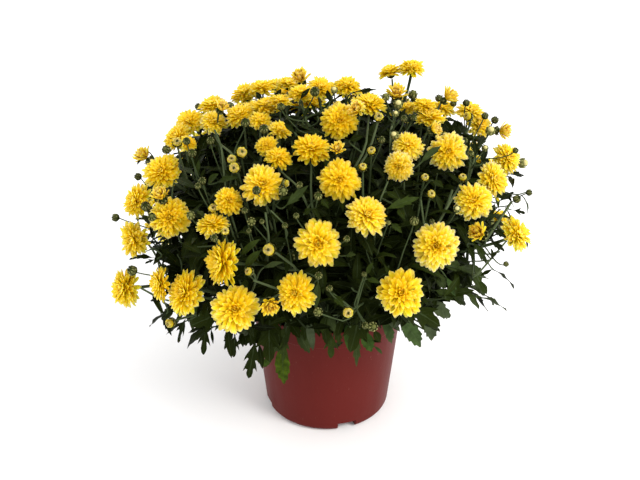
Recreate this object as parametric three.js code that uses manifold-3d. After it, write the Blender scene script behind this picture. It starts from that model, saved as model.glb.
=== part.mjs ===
// A pot chrysanthemum: a dense dome of double yellow flowers above dark, lobed leaves,
// growing in a terracotta-coloured plastic pot with a rim band and drainage notches.
// Units are millimetres. +Z is up, the pot stands on z = 0 and its front faces -Y.
// Azimuth 0 is the front and grows towards +X, so 90 is the right-hand side.

import * as THREE from 'three';
import { mergeVertices } from 'three/addons/utils/BufferGeometryUtils.js';
import Module from 'manifold-3d';

const wasm = await Module();
wasm.setup();

// ---------------------------------------------------------------- driving dimensions

const GAP = 0.3; // left between pieces that touch

// Pot
const RIM_RADIUS = 85;
const POT_HEIGHT = 138;
const BASE_RADIUS = 70;
const WALL = 1.6;
const BAND_HEIGHT = 20;
const BAND_STEP = 2.2; // how far the rim band stands out from the wall below it
const BAND_FLARE = 0.8; // how much the band widens towards its lip
const EDGE_ROUNDING = 0.6; // on the lower edge of the band and on the lip
const BASE_ROUNDING = 7;
const ROUNDING_STEPS = 5;
const POT_SEGMENTS = 48;

// Drainage channels moulded into the foot of the pot
const DRAIN_COUNT = 4;
const FIRST_DRAIN_AZIMUTH = 18;
const DRAIN_WIDTH = 21;
const DRAIN_HEIGHT = 10;
const DRAIN_START = 46; // distance of the channel's inner end from the pot's axis
const DRAIN_HOLE_RADIUS = 4.5;
const DRAIN_HOLE_DISTANCE = 54;

// Growing medium
const HEADSPACE = 17; // from the rim down to the soil

// Dome of the plant: flower heads lie on an ellipsoid around a point above the pot
const DOME_RADIUS = 222;
const DOME_RISE = 165;
const DOME_HEART = 205;

// Stems
const STEM_RADIUS = 2;
const STEM_SIDES = 6;
const STEM_STEPS = 10;
const ROOT_SPREAD = 42; // radius within which the stems leave the soil
const SHOULDER_SHARE = 0.36; // share of a stem's span over which it still rises upright
const NECK_SHARE = 0.28; // share of the span over which it turns to face as its head does

// Flower heads
const HEAD_PETALS = 10;
const CALYX_DEPTH = 9; // from the petals' plane down to the top of the stem
const NOTCH_DEPTH = 0.16; // share of the radius cut back between two petals
const NOTCH_START = 0.4; // share of the radius from which the notches open

// Outline of a head from calyx to heart: [share of its radius, height above the petals].
const HEAD_OUTLINE = [
  [0, -CALYX_DEPTH],
  [0.17, -CALYX_DEPTH],
  [0.36, -4.5],
  [1, 0.6],
  [0.97, 2.2],
  [0.7, 3.4],
  [0.66, 5.6],
  [0.3, 8.2],
  [0, 7.6],
];

// Leaves
const LEAF_THICKNESS = 1;
const LEAF_HALF_WIDTH = 0.42; // share of the length that an outline's across of 1 stands for
const LEAF_LIFT = 0.45; // how strongly a leaf leans along its stem as it leaves it
const PETIOLE_WIDTH = 2.4;

// Half of a leaf's outline as [across, along] shares: stalk, two lobes and the end lobe.
const LEAF_EDGE = [
  [0.1, 0.24],
  [0.34, 0.3],
  [0.6, 0.46],
  [0.3, 0.5],
  [0.2, 0.54],
  [0.5, 0.64],
  [0.56, 0.78],
  [0.26, 0.72],
  [0.2, 0.8],
  [0.14, 0.92],
];

// Buds
const BUD_STALK_RADIUS = 1.3;
const BUD_LIFT = 1; // how strongly a bud's stalk leans along its stem
const BUD_SEGMENTS = 10;

// Outline of a bud above its stalk: [share of its radius, height in radii].
const BUD_OUTLINE = [
  [0.75, 0.3],
  [1, 0.9],
  [0.7, 1.5],
  [0, 1.7],
];

// Flower heads. azimuth and elevation place each on the dome and reach scales its
// distance from the dome's heart; faceAzimuth and faceElevation say where it looks.
const HEADS = [
  { azimuth: 130, elevation: 62, reach: 1.13, across: 30, faceAzimuth: 20, faceElevation: 76 },
  { azimuth: -105, elevation: 56, reach: 1, across: 34, faceAzimuth: -75, faceElevation: 74 },
  { azimuth: 8, elevation: 71.5, reach: 1, across: 37, faceAzimuth: 0, faceElevation: 30 },
  { azimuth: 54, elevation: 52, reach: 1, across: 39, faceAzimuth: 2, faceElevation: 28 },
  { azimuth: 87, elevation: 35, reach: 1, across: 36, faceAzimuth: 42, faceElevation: 40 },
  { azimuth: -67, elevation: 39, reach: 1, across: 40, faceAzimuth: -22, faceElevation: 46 },
  { azimuth: 3.5, elevation: 50.5, reach: 1, across: 39, faceAzimuth: 0, faceElevation: 29 },
  { azimuth: 47, elevation: 36.5, reach: 1, across: 38, faceAzimuth: 1, faceElevation: 46 },
  { azimuth: -49, elevation: 30.5, reach: 1, across: 40, faceAzimuth: -3, faceElevation: 32 },
  { azimuth: -3, elevation: 32.5, reach: 1, across: 42, faceAzimuth: 0, faceElevation: 28 },
  { azimuth: 28, elevation: 28.5, reach: 1, across: 43, faceAzimuth: -6, faceElevation: 28 },
  { azimuth: 57.5, elevation: 21, reach: 1, across: 37, faceAzimuth: 56, faceElevation: 38 },
  { azimuth: -26.5, elevation: 24, reach: 1, across: 45, faceAzimuth: -60, faceElevation: 18 },
  { azimuth: -63, elevation: -1.5, reach: 1, across: 42, faceAzimuth: -51, faceElevation: 16 },
  { azimuth: -22, elevation: 11.5, reach: 1, across: 43, faceAzimuth: 6, faceElevation: 30 },
  { azimuth: 16.5, elevation: 17.5, reach: 1, across: 43, faceAzimuth: 0, faceElevation: 34 },
  { azimuth: 112, elevation: -8, reach: 1, across: 41, faceAzimuth: 112, faceElevation: 22 },
  { azimuth: 138, elevation: 22, reach: 1, across: 42, faceAzimuth: 140, faceElevation: 34 },
  { azimuth: 176, elevation: 10, reach: 1, across: 42, faceAzimuth: 174, faceElevation: 26 },
  { azimuth: -136, elevation: 18, reach: 1, across: 43, faceAzimuth: -138, faceElevation: 30 },
  { azimuth: 168, elevation: 35, reach: 1, across: 41, faceAzimuth: 170, faceElevation: 46 },
  { azimuth: -112, elevation: 5, reach: 1, across: 41, faceAzimuth: -110, faceElevation: 20 },
];

// Leaves. stem counts from 1 as the heads do, along is the share of the stem's length
// below the leaf, side turns the leaf about the stem (0 is outward and down), length is
// that of stalk and blade together and droop is how far the tip sinks.
const LEAVES = [
  { stem: 15, along: 0.52, side: 10, length: 62, droop: 16 },
  { stem: 15, along: 0.8, side: -60, length: 52, droop: 10 },
  { stem: 16, along: 0.5, side: -25, length: 60, droop: 18 },
  { stem: 16, along: 0.78, side: 50, length: 54, droop: 12 },
  { stem: 14, along: 0.62, side: 0, length: 58, droop: 14 },
  { stem: 12, along: 0.7, side: 20, length: 56, droop: 12 },
  { stem: 17, along: 0.66, side: -20, length: 58, droop: 14 },
  { stem: 18, along: 0.66, side: 15, length: 58, droop: 12 },
  { stem: 19, along: 0.7, side: 0, length: 60, droop: 14 },
  { stem: 20, along: 0.68, side: 10, length: 58, droop: 12 },
];

// Buds on side stalks, placed along the stems as the leaves are.
const BUDS = [
  { stem: 10, along: 0.72, side: -70, length: 36, across: 11 },
  { stem: 5, along: 0.8, side: 20, length: 40, across: 10 },
  { stem: 14, along: 0.76, side: 150, length: 40, across: 11 },
  { stem: 21, along: 0.8, side: 90, length: 38, across: 10 },
];

// ---------------------------------------------------------------- materials

const finish = (color, roughness) =>
  new THREE.MeshStandardMaterial({ color, roughness, metalness: 0 });

const potPlastic = () => finish(0x8a3e36, 0.42);
const pottingSoil = () => finish(0x2c2019, 0.95);
const stemGreen = () => finish(0x57703c, 0.6);
const leafGreen = () => finish(0x24401c, 0.55);
const petalYellow = () => finish(0xf6c91c, 0.6);
const budGreen = () => finish(0x7d8f35, 0.6);

// ---------------------------------------------------------------- helpers

const radians = THREE.MathUtils.degToRad;

// Unit vector that looks towards an azimuth and an elevation given in degrees.
function direction(azimuth, elevation) {
  const flat = Math.cos(radians(elevation));
  return new THREE.Vector3(
    flat * Math.sin(radians(azimuth)),
    -flat * Math.cos(radians(azimuth)),
    Math.sin(radians(elevation)),
  );
}

// Welded copy of a closed shape with its faces turned outward and empty faces removed.
function closedShape(geometry) {
  const bare = geometry.clone();
  bare.deleteAttribute('normal');
  bare.deleteAttribute('uv');
  const welded = mergeVertices(bare, 1e-4);
  const corner = (n) => new THREE.Vector3().fromBufferAttribute(welded.attributes.position, n);
  const faces = [];
  let volume = 0;
  for (let i = 0; i < welded.index.count; i += 3) {
    const [a, b, c] = [0, 1, 2].map((k) => welded.index.getX(i + k));
    if (a !== b && b !== c && c !== a) {
      faces.push([a, b, c]);
      volume += corner(a).dot(corner(b).cross(corner(c)));
    }
  }
  if (volume < 0) {
    faces.forEach((face) => face.reverse());
  }
  welded.setIndex(faces.flat());
  return welded;
}

function toSolid(geometry) {
  const shape = closedShape(geometry);
  return new wasm.Manifold(
    new wasm.Mesh({
      numProp: 3,
      vertProperties: new Float32Array(shape.attributes.position.array),
      triVerts: new Uint32Array(shape.index.array),
    }),
  );
}

function toGeometry(solid) {
  const mesh = solid.getMesh();
  const geometry = new THREE.BufferGeometry();
  geometry.setAttribute('position', new THREE.BufferAttribute(mesh.vertProperties, 3));
  geometry.setIndex(Array.from(mesh.triVerts));
  return geometry;
}

// Solid of revolution about Z from [radius, height] pairs.
function turned(profile, segments) {
  const points = profile.map(([radius, height]) => new THREE.Vector2(radius, height));
  const lathe = new THREE.LatheGeometry(points, segments);
  return lathe.rotateX(Math.PI / 2);
}

function piece(name, geometry, material) {
  const mesh = new THREE.Mesh(closedShape(geometry), material);
  mesh.name = name;
  return mesh;
}

// ---------------------------------------------------------------- pot and soil

const BAND_BOTTOM = POT_HEIGHT - BAND_HEIGHT;
const WALL_TOP_RADIUS = RIM_RADIUS - BAND_FLARE - BAND_STEP;
const SOIL_TOP = POT_HEIGHT - HEADSPACE;
const WALL_SLOPE = (WALL_TOP_RADIUS - BASE_RADIUS) / BAND_BOTTOM;

// Underside and wall of the pot's cup, moved inward by inset, up to the given height.
function cupOutline(inset, top) {
  const lean = Math.atan(WALL_SLOPE);
  const centre = BASE_RADIUS + WALL_SLOPE * BASE_ROUNDING - BASE_ROUNDING / Math.cos(lean);
  const radius = BASE_ROUNDING - inset;
  const outline = [[0, inset]];
  for (let i = 0; i <= ROUNDING_STEPS; i += 1) {
    const angle = THREE.MathUtils.lerp(-Math.PI / 2, -lean, i / ROUNDING_STEPS);
    outline.push([centre + radius * Math.cos(angle), BASE_ROUNDING + radius * Math.sin(angle)]);
  }
  outline.push([BASE_RADIUS + WALL_SLOPE * top - inset / Math.cos(lean), top]);
  return outline;
}

// A box that lies along the pot's radius, from one distance to another.
function radialBox(from, to, width, bottom, top, azimuth) {
  const box = new THREE.BoxGeometry(width, to - from, top - bottom);
  box.translate(0, -(from + to) / 2, (bottom + top) / 2);
  return toSolid(box.rotateZ(radians(azimuth)));
}

const drainAzimuths = Array.from(
  { length: DRAIN_COUNT },
  (_, i) => FIRST_DRAIN_AZIMUTH + (i * 360) / DRAIN_COUNT,
);

// The raised hood over one drainage channel, grown outward by clearance.
function drainHood(azimuth, clearance) {
  return radialBox(
    DRAIN_START - WALL - clearance,
    RIM_RADIUS,
    DRAIN_WIDTH + 2 * (WALL + clearance),
    0,
    DRAIN_HEIGHT + WALL + clearance,
    azimuth,
  );
}

function drainHole(azimuth) {
  const hole = new THREE.CylinderGeometry(DRAIN_HOLE_RADIUS, DRAIN_HOLE_RADIUS, 3 * WALL, 20);
  hole.rotateX(Math.PI / 2);
  const centre = direction(azimuth, 0).multiplyScalar(DRAIN_HOLE_DISTANCE);
  hole.translate(centre.x, centre.y, DRAIN_HEIGHT + WALL / 2);
  return toSolid(hole);
}

function makePot() {
  const inner = cupOutline(WALL, BAND_BOTTOM + WALL);
  const bandFoot = RIM_RADIUS - BAND_FLARE;
  const profile = [
    ...cupOutline(0, BAND_BOTTOM),
    [bandFoot - EDGE_ROUNDING, BAND_BOTTOM],
    [bandFoot, BAND_BOTTOM + EDGE_ROUNDING],
    [RIM_RADIUS, POT_HEIGHT - EDGE_ROUNDING],
    [RIM_RADIUS - WALL / 2, POT_HEIGHT],
    [RIM_RADIUS - WALL, POT_HEIGHT - EDGE_ROUNDING],
    [bandFoot - WALL, BAND_BOTTOM + WALL],
    ...inner.reverse(),
  ];
  let pot = toSolid(turned(profile, POT_SEGMENTS));
  const outside = toSolid(turned([...cupOutline(0, BAND_BOTTOM), [0, BAND_BOTTOM]], POT_SEGMENTS));
  for (const azimuth of drainAzimuths) {
    pot = pot.add(drainHood(azimuth, 0).intersect(outside));
    pot = pot.subtract(
      radialBox(DRAIN_START, RIM_RADIUS, DRAIN_WIDTH, -WALL, DRAIN_HEIGHT, azimuth),
    );
    pot = pot.subtract(drainHole(azimuth));
  }
  return piece('pot', toGeometry(pot), potPlastic());
}

function makeSoil() {
  const outline = cupOutline(WALL + GAP, SOIL_TOP);
  let soil = toSolid(turned([...outline, [0, SOIL_TOP]], POT_SEGMENTS));
  for (const azimuth of drainAzimuths) {
    soil = soil.subtract(drainHood(azimuth, GAP));
  }
  return piece('soil', toGeometry(soil), pottingSoil());
}

// ---------------------------------------------------------------- stems and flowers

function headPlace(head) {
  const spot = direction(head.azimuth, head.elevation).multiplyScalar(head.reach);
  spot.multiply(new THREE.Vector3(DOME_RADIUS, DOME_RADIUS, DOME_RISE));
  spot.z += DOME_HEART;
  return spot;
}

const headFacing = (head) => direction(head.faceAzimuth, head.faceElevation);

// The stem leaves the soil nearly upright and ends square to its flower head.
function stemCurve(head) {
  const facing = headFacing(head);
  const top = headPlace(head).addScaledVector(facing, -(CALYX_DEPTH + GAP));
  const outward = direction(head.azimuth, 0);
  const rootDistance = ROOT_SPREAD * (0.15 + 0.85 * Math.cos(radians(head.elevation)) ** 2);
  const root = outward.clone().multiplyScalar(rootDistance);
  root.z = SOIL_TOP + GAP;
  const rise = top.distanceTo(root);
  const shoulder = root.clone().add(new THREE.Vector3(0, 0, rise * SHOULDER_SHARE));
  const neck = top.clone().addScaledVector(facing, -rise * NECK_SHARE);
  return new THREE.CubicBezierCurve3(root, shoulder, neck, top);
}

function polygon(radius, sides) {
  const corners = Array.from({ length: sides }, (_, i) => {
    const angle = (i / sides) * 2 * Math.PI;
    return new THREE.Vector2(radius * Math.cos(angle), radius * Math.sin(angle));
  });
  return new THREE.Shape(corners);
}

function makeStem(name, curve) {
  const tube = new THREE.ExtrudeGeometry(polygon(STEM_RADIUS, STEM_SIDES), {
    steps: STEM_STEPS,
    bevelEnabled: false,
    extrudePath: curve,
  });
  return piece(name, tube, stemGreen());
}

// Calyx, two tiers of petals and the closed heart of a double flower, facing +Z.
function headGeometry(across) {
  const r = across / 2;
  const profile = HEAD_OUTLINE.map(([share, height]) => [share * r, height]);
  const head = turned(profile, 2 * HEAD_PETALS);
  const spots = head.attributes.position;
  for (let i = 0; i < spots.count; i += 1) {
    const [x, y] = [spots.getX(i), spots.getY(i)];
    const outer = THREE.MathUtils.smoothstep(Math.hypot(x, y), NOTCH_START * r, r);
    const between = Math.sin((Math.atan2(y, x) * HEAD_PETALS) / 2) ** 2;
    const shrink = 1 - NOTCH_DEPTH * outer * between;
    spots.setXY(i, x * shrink, y * shrink);
  }
  return head;
}

function makeHead(name, head) {
  const mesh = piece(name, headGeometry(head.across), petalYellow());
  mesh.quaternion.setFromUnitVectors(new THREE.Vector3(0, 0, 1), headFacing(head));
  mesh.position.copy(headPlace(head));
  return mesh;
}

// ---------------------------------------------------------------- leaves and buds

// Where a side piece leaves its stem: a point just clear of the bark, the way out from
// there, and the stem's own direction.
function sideShoot(curve, along, side) {
  const stemWay = curve.getTangentAt(along);
  const down = new THREE.Vector3(0, 0, -1);
  const out = down.addScaledVector(stemWay, -down.dot(stemWay)).normalize();
  out.applyAxisAngle(stemWay, radians(side));
  const bark = STEM_RADIUS * Math.cos(Math.PI / STEM_SIDES);
  const start = curve.getPointAt(along).addScaledVector(out, bark + GAP);
  return { start, out, stemWay };
}

// Flat lobed blade on its stalk, along +Y with its upper side towards +Z, tip bent down.
function leafGeometry(length, droop) {
  const half = LEAF_HALF_WIDTH * length;
  const stalk = PETIOLE_WIDTH / 2;
  const right = LEAF_EDGE.map(([across, along]) => [across * half, along * length]);
  const left = right.map(([x, y]) => [-x, y]).reverse();
  const outline = [[-stalk, 0], [stalk, 0], ...right, [0, length], ...left];
  const shape = new THREE.Shape(outline.map(([x, y]) => new THREE.Vector2(x, y)));
  const blade = new THREE.ExtrudeGeometry(shape, { depth: LEAF_THICKNESS, bevelEnabled: false });
  const spots = blade.attributes.position;
  for (let i = 0; i < spots.count; i += 1) {
    const bend = droop * (spots.getY(i) / length) ** 2;
    spots.setZ(i, spots.getZ(i) - LEAF_THICKNESS / 2 - bend);
  }
  return blade;
}

function makeLeaf(name, leaf, curve) {
  const { start, out, stemWay } = sideShoot(curve, leaf.along, leaf.side);
  const way = out.clone().addScaledVector(stemWay, LEAF_LIFT).normalize();
  const upper = stemWay.clone().addScaledVector(way, -stemWay.dot(way)).normalize();
  const across = way.clone().cross(upper);
  const mesh = piece(name, leafGeometry(leaf.length, leaf.droop), leafGreen());
  mesh.quaternion.setFromRotationMatrix(new THREE.Matrix4().makeBasis(across, way, upper));
  mesh.position.copy(start).addScaledVector(way, PETIOLE_WIDTH / 4);
  return mesh;
}

function makeBud(name, bud, curve) {
  const { start, out, stemWay } = sideShoot(curve, bud.along, bud.side);
  const way = out.clone().addScaledVector(stemWay, BUD_LIFT).normalize();
  const r = bud.across / 2;
  const neck = bud.length - BUD_OUTLINE.at(-1)[1] * r;
  const profile = [
    [0, 0],
    [BUD_STALK_RADIUS, 0],
    [BUD_STALK_RADIUS, neck],
    ...BUD_OUTLINE.map(([share, height]) => [share * r, neck + height * r]),
  ];
  const mesh = piece(name, turned(profile, BUD_SEGMENTS), budGreen());
  mesh.quaternion.setFromUnitVectors(new THREE.Vector3(0, 0, 1), way);
  mesh.position.copy(start).addScaledVector(out, BUD_STALK_RADIUS);
  return mesh;
}

// ---------------------------------------------------------------- the whole plant

const plant = new THREE.Group();
plant.add(makePot());
plant.add(makeSoil());

const curves = HEADS.map(stemCurve);
const label = (word, index) => `${word}_${String(index + 1).padStart(2, '0')}`;

HEADS.forEach((head, i) => {
  plant.add(makeStem(label('stem', i), curves[i]));
  plant.add(makeHead(label('flower_head', i), head));
});
LEAVES.forEach((leaf, i) => plant.add(makeLeaf(label('leaf', i), leaf, curves[leaf.stem - 1])));
BUDS.forEach((bud, i) => plant.add(makeBud(label('bud', i), bud, curves[bud.stem - 1])));

export default plant;
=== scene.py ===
"""Looks of the pot chrysanthemum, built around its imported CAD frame.

Metres, +Z up, front towards -Y. The CAD gives the pot, the soil, the main stems and some of
the flower heads, leaves and buds. This script models each of those finely, and adds the many
more heads, buds and leaves that branch from the same stems.
"""

import math

import bmesh
import bpy
import numpy as np
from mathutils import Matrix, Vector


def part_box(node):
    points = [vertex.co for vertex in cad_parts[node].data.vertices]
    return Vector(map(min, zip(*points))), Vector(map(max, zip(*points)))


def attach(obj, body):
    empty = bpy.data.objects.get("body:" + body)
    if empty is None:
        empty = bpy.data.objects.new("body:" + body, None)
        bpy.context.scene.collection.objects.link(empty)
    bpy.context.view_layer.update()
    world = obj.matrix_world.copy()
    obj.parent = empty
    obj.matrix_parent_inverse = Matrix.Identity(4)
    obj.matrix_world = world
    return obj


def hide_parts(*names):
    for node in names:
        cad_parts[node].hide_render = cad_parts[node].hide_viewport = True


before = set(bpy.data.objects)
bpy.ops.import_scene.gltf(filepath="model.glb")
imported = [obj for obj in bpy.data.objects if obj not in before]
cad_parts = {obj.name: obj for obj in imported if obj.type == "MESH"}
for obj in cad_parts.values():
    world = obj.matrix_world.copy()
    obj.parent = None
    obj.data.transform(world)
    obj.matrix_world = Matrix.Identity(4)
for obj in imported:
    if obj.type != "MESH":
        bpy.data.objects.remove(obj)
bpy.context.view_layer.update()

MM = 0.001
UP = np.array([0, 0, 1.0])
rng = np.random.default_rng(1889)

# ------------------------------------------------------------------ camera and sight lines

PHOTO_WIDTH, PHOTO_HEIGHT = 640, 480
CAMERA_PLACE = np.array([-8.3, -855.7, 634.7]) * MM
CAMERA_DROP = math.radians(26.8)  # how far it looks down
FOCAL_PIXELS = 889
SENSOR_MM = 36

FORWARD = np.array([0, math.cos(CAMERA_DROP), -math.sin(CAMERA_DROP)])
UPWARD = np.array([0, math.sin(CAMERA_DROP), math.cos(CAMERA_DROP)])
RIGHTWARD = np.array([1.0, 0, 0])

# The dome that the flower heads lie on
DOME_SIZE = np.array([222, 222, 165]) * MM
DOME_HEART = np.array([0, 0, 205]) * MM

POT_RIM_RADIUS = 85 * MM
POT_HEIGHT = 138 * MM


def unit(v):
    v = np.asarray(v, float)
    return v / np.linalg.norm(v)


def direction(azimuth, elevation):
    """Unit vector; azimuth 0 is the front and 90 the right, both in degrees."""
    a, e = math.radians(azimuth), math.radians(elevation)
    return np.array([math.cos(e) * math.sin(a), -math.cos(e) * math.cos(a), math.sin(e)])


def meet(px, py, heart, size):
    """Where the sight line through a pixel meets an ellipsoid, or comes nearest to it."""
    right = (px - PHOTO_WIDTH / 2) / FOCAL_PIXELS
    up = (PHOTO_HEIGHT / 2 - py) / FOCAL_PIXELS
    ray = unit(FORWARD + RIGHTWARD * right + UPWARD * up)
    way, start = ray / size, (CAMERA_PLACE - heart) / size
    a, b, c = way @ way, 2 * start @ way, start @ start - 1
    step = (-b - math.sqrt(max(b * b - 4 * a * c, 0))) / (2 * a)
    return CAMERA_PLACE + ray * step


def on_dome(px, py, reach):
    """A pixel's place on the dome, made larger by reach."""
    return meet(px, py, DOME_HEART, DOME_SIZE * reach)


def on_column(px, py, radius):
    """A pixel's place on the front of an upright cylinder around the pot's axis."""
    return meet(px, py, DOME_HEART, np.array([radius, radius, np.inf]))


def depth(point):
    return (point - CAMERA_PLACE) @ FORWARD


def real_width(pixels, point):
    """Metres that a width in pixels stands for at a point."""
    return pixels * depth(point) / FOCAL_PIXELS


def pixel_of(point):
    away = (point - CAMERA_PLACE) / depth(point) * FOCAL_PIXELS
    return PHOTO_WIDTH / 2 + away @ RIGHTWARD, PHOTO_HEIGHT / 2 - away @ UPWARD


def facing_seen(point, tilt, lean):
    """Direction at a point, tilted from the way to the camera.

    lean says which way it tilts, in degrees clockwise from up in the picture.
    """
    back = unit(CAMERA_PLACE - point)
    up = unit(UPWARD - (UPWARD @ back) * back)
    t, l = math.radians(tilt), math.radians(lean)
    return math.cos(t) * back + math.sin(t) * (math.cos(l) * up + math.sin(l) * np.cross(up, back))


def show(thing):
    bpy.context.scene.collection.objects.link(thing)
    return thing


def add_camera():
    data = bpy.data.cameras.new("camera")
    data.sensor_width = SENSOR_MM
    data.lens = FOCAL_PIXELS / PHOTO_WIDTH * SENSOR_MM
    camera = show(bpy.data.objects.new("camera", data))
    camera.location = CAMERA_PLACE
    camera.rotation_euler = (math.pi / 2 - CAMERA_DROP, 0, 0)
    bpy.context.scene.camera = camera


# ------------------------------------------------------------------ light and floor

KEY_PLACE = (1.8, -1.4, 1.9)
KEY_TARGET = (0, 0, 0.2)
KEY_DIAMETER = 1.2
KEY_WATTS = 56
WORLD_STRENGTH = 1.34
FLOOR_REACH = 14
FLOOR_GAP = 0.2 * MM  # keeps the floor clear of the pot's foot


def add_studio():
    data = bpy.data.lights.new("key", "AREA")
    data.shape = "DISK"
    data.size = KEY_DIAMETER
    data.energy = KEY_WATTS
    data.color = (1.0, 0.985, 0.95)
    light = show(bpy.data.objects.new("key", data))
    light.location = KEY_PLACE
    towards = Vector(KEY_TARGET) - Vector(KEY_PLACE)
    light.rotation_euler = towards.to_track_quat("-Z", "Y").to_euler()
    world = bpy.data.worlds.new("studio")
    world.use_nodes = True
    background = world.node_tree.nodes["Background"]
    background.inputs["Color"].default_value = (1, 1, 1, 1)
    background.inputs["Strength"].default_value = WORLD_STRENGTH
    bpy.context.scene.world = world
    bpy.context.scene.view_settings.view_transform = "Standard"


def add_floor():
    corners = [(x * FLOOR_REACH, y * FLOOR_REACH, 0) for x, y in ((-1, -1), (1, -1), (1, 1), (-1, 1))]
    mesh = bpy.data.meshes.new("floor")
    mesh.from_pydata(corners, [], [(0, 1, 2, 3)])
    floor = show(bpy.data.objects.new("floor", mesh))
    floor.location.z = -FLOOR_GAP
    skin = Surface("floor_white", 0.7)
    colour = skin.ramp(skin.noise(6, 2), [(0, (0.955, 0.955, 0.955)), (1, (0.975, 0.975, 0.975))])
    mesh.materials.append(skin.painted(colour))


# ------------------------------------------------------------------ materials


class Surface:
    """A material in the making, with short names for the nodes that it uses."""

    def __init__(self, name, roughness, **constants):
        self.material = bpy.data.materials.new(name)
        self.material.use_nodes = True
        self.tree = self.material.node_tree
        self.shader = self.tree.nodes["Principled BSDF"].inputs
        self.shader["Roughness"].default_value = roughness
        for socket, value in constants.items():
            self.shader[socket.replace("_", " ")].default_value = value

    def feed(self, socket, value):
        if isinstance(value, bpy.types.NodeSocket):
            self.tree.links.new(value, socket)
        else:
            socket.default_value = (*value, 1) if isinstance(value, tuple) else value

    def node(self, kind, values, **settings):
        """A new node, with a value or another node's output for each of some sockets."""
        node = self.tree.nodes.new("ShaderNode" + kind)
        for name, setting in settings.items():
            setattr(node, name, setting)
        for socket, value in values.items():
            self.feed(node.inputs[socket], value)
        return node

    def calc(self, operation, a, b=0.0, clamp=False):
        return self.node("Math", {0: a, 1: b}, operation=operation, use_clamp=clamp).outputs[0]

    def times(self, a, b):
        return self.calc("MULTIPLY", a, b)

    def plus(self, a, b):
        return self.calc("ADD", a, b)

    def less(self, a, b):
        return self.calc("SUBTRACT", a, b)

    def mix(self, factor, a, b, blend="MIX"):
        values = {0: factor, 6: a, 7: b}
        return self.node("Mix", values, data_type="RGBA", blend_type=blend).outputs[2]

    def ramp(self, factor, stops):
        node = self.node("ValToRGB", {0: factor})
        elements = node.color_ramp.elements
        while len(elements) < len(stops):
            elements.new(0.5)
        for element, (position, colour) in zip(elements, stops):
            element.position = position
            element.color = (*colour, 1)
        return node.outputs[0]

    def noise(self, scale, detail, stretch=None):
        """Noise over the piece's own coordinates, drawn out where stretch is below 1."""
        place = self.node("TexCoord", {}).outputs["Object"]
        if stretch:
            mapping = self.node("Mapping", {"Vector": place})
            mapping.inputs["Scale"].default_value = stretch
            place = mapping.outputs["Vector"]
        return self.node("TexNoise", {"Vector": place, "Scale": scale, "Detail": detail}).outputs["Fac"]

    def marks(self):
        """The four numbers that each vertex carries: across, along, tone and extra."""
        node = self.node("Attribute", {}, attribute_name="marks")
        split = self.node("SeparateColor", {0: node.outputs["Color"]})
        return *split.outputs, node.outputs["Alpha"]

    def painted(self, colour, height=None, relief=0.0, roughness=None):
        """The finished material; height from 0 to 1 stands for relief in metres."""
        self.feed(self.shader["Base Color"], colour)
        if height is not None:
            bump = self.node("Bump", {"Strength": 1.0, "Distance": relief, "Height": height})
            self.feed(self.shader["Normal"], bump.outputs["Normal"])
        if roughness is not None:
            self.feed(self.shader["Roughness"], roughness)
        return self.material


def petal_material():
    """across is the petal's place from rim (0) to heart (1), extra is how orange it is."""
    skin = Surface(
        "petal", 0.7, Specular_IOR_Level=0.005,
        Subsurface_Weight=0.8, Subsurface_Scale=0.009, Subsurface_Radius=(1.0, 0.7, 0.15),
    )
    ring, along, tone, young = skin.marks()
    # Along each petal, here and near the heart: deeper orange at the base and pale lemon at the tip,
    # partly the petal's own colour, partly painted shade in the crevices at the bases and painted
    # highlight on the tips.
    body = skin.ramp(along, [
        (0.0, (0.92, 0.50, 0.0006)), (0.45, (0.95, 0.62, 0.0040)),
        (0.8, (0.94, 0.635, 0.016)), (1.0, (0.90, 0.67, 0.085)),
    ])
    heart = skin.ramp(along, [
        (0.0, (0.82, 0.33, 0.0008)), (0.5, (0.93, 0.52, 0.0020)), (1.0, (0.94, 0.60, 0.016)),
    ])
    orange = skin.ramp(along, [(0.0, (0.52, 0.19, 0.004)), (1.0, (0.86, 0.47, 0.040))])
    # tone holds the head's hue, partly painted light and shade from side to side of the plant, plus random
    # variation per petal
    hue = skin.ramp(tone, [(0.0, (0.93, 0.79, 0.30)), (0.5, (1.0, 0.98, 0.80)), (1.0, (1.02, 1.09, 2.3))])
    streak = skin.noise(320, 2)
    colour = skin.mix(skin.calc("POWER", ring, 2.2), body, heart)
    colour = skin.mix(young, colour, orange)
    colour = skin.mix(skin.less(1.0, skin.calc("POWER", ring, 2)), colour, hue, "MULTIPLY")
    colour = skin.mix(skin.times(streak, 0.22), colour, (0.84, 0.50, 0.002))
    return skin.painted(colour, streak, 0.15 * MM)


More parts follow.
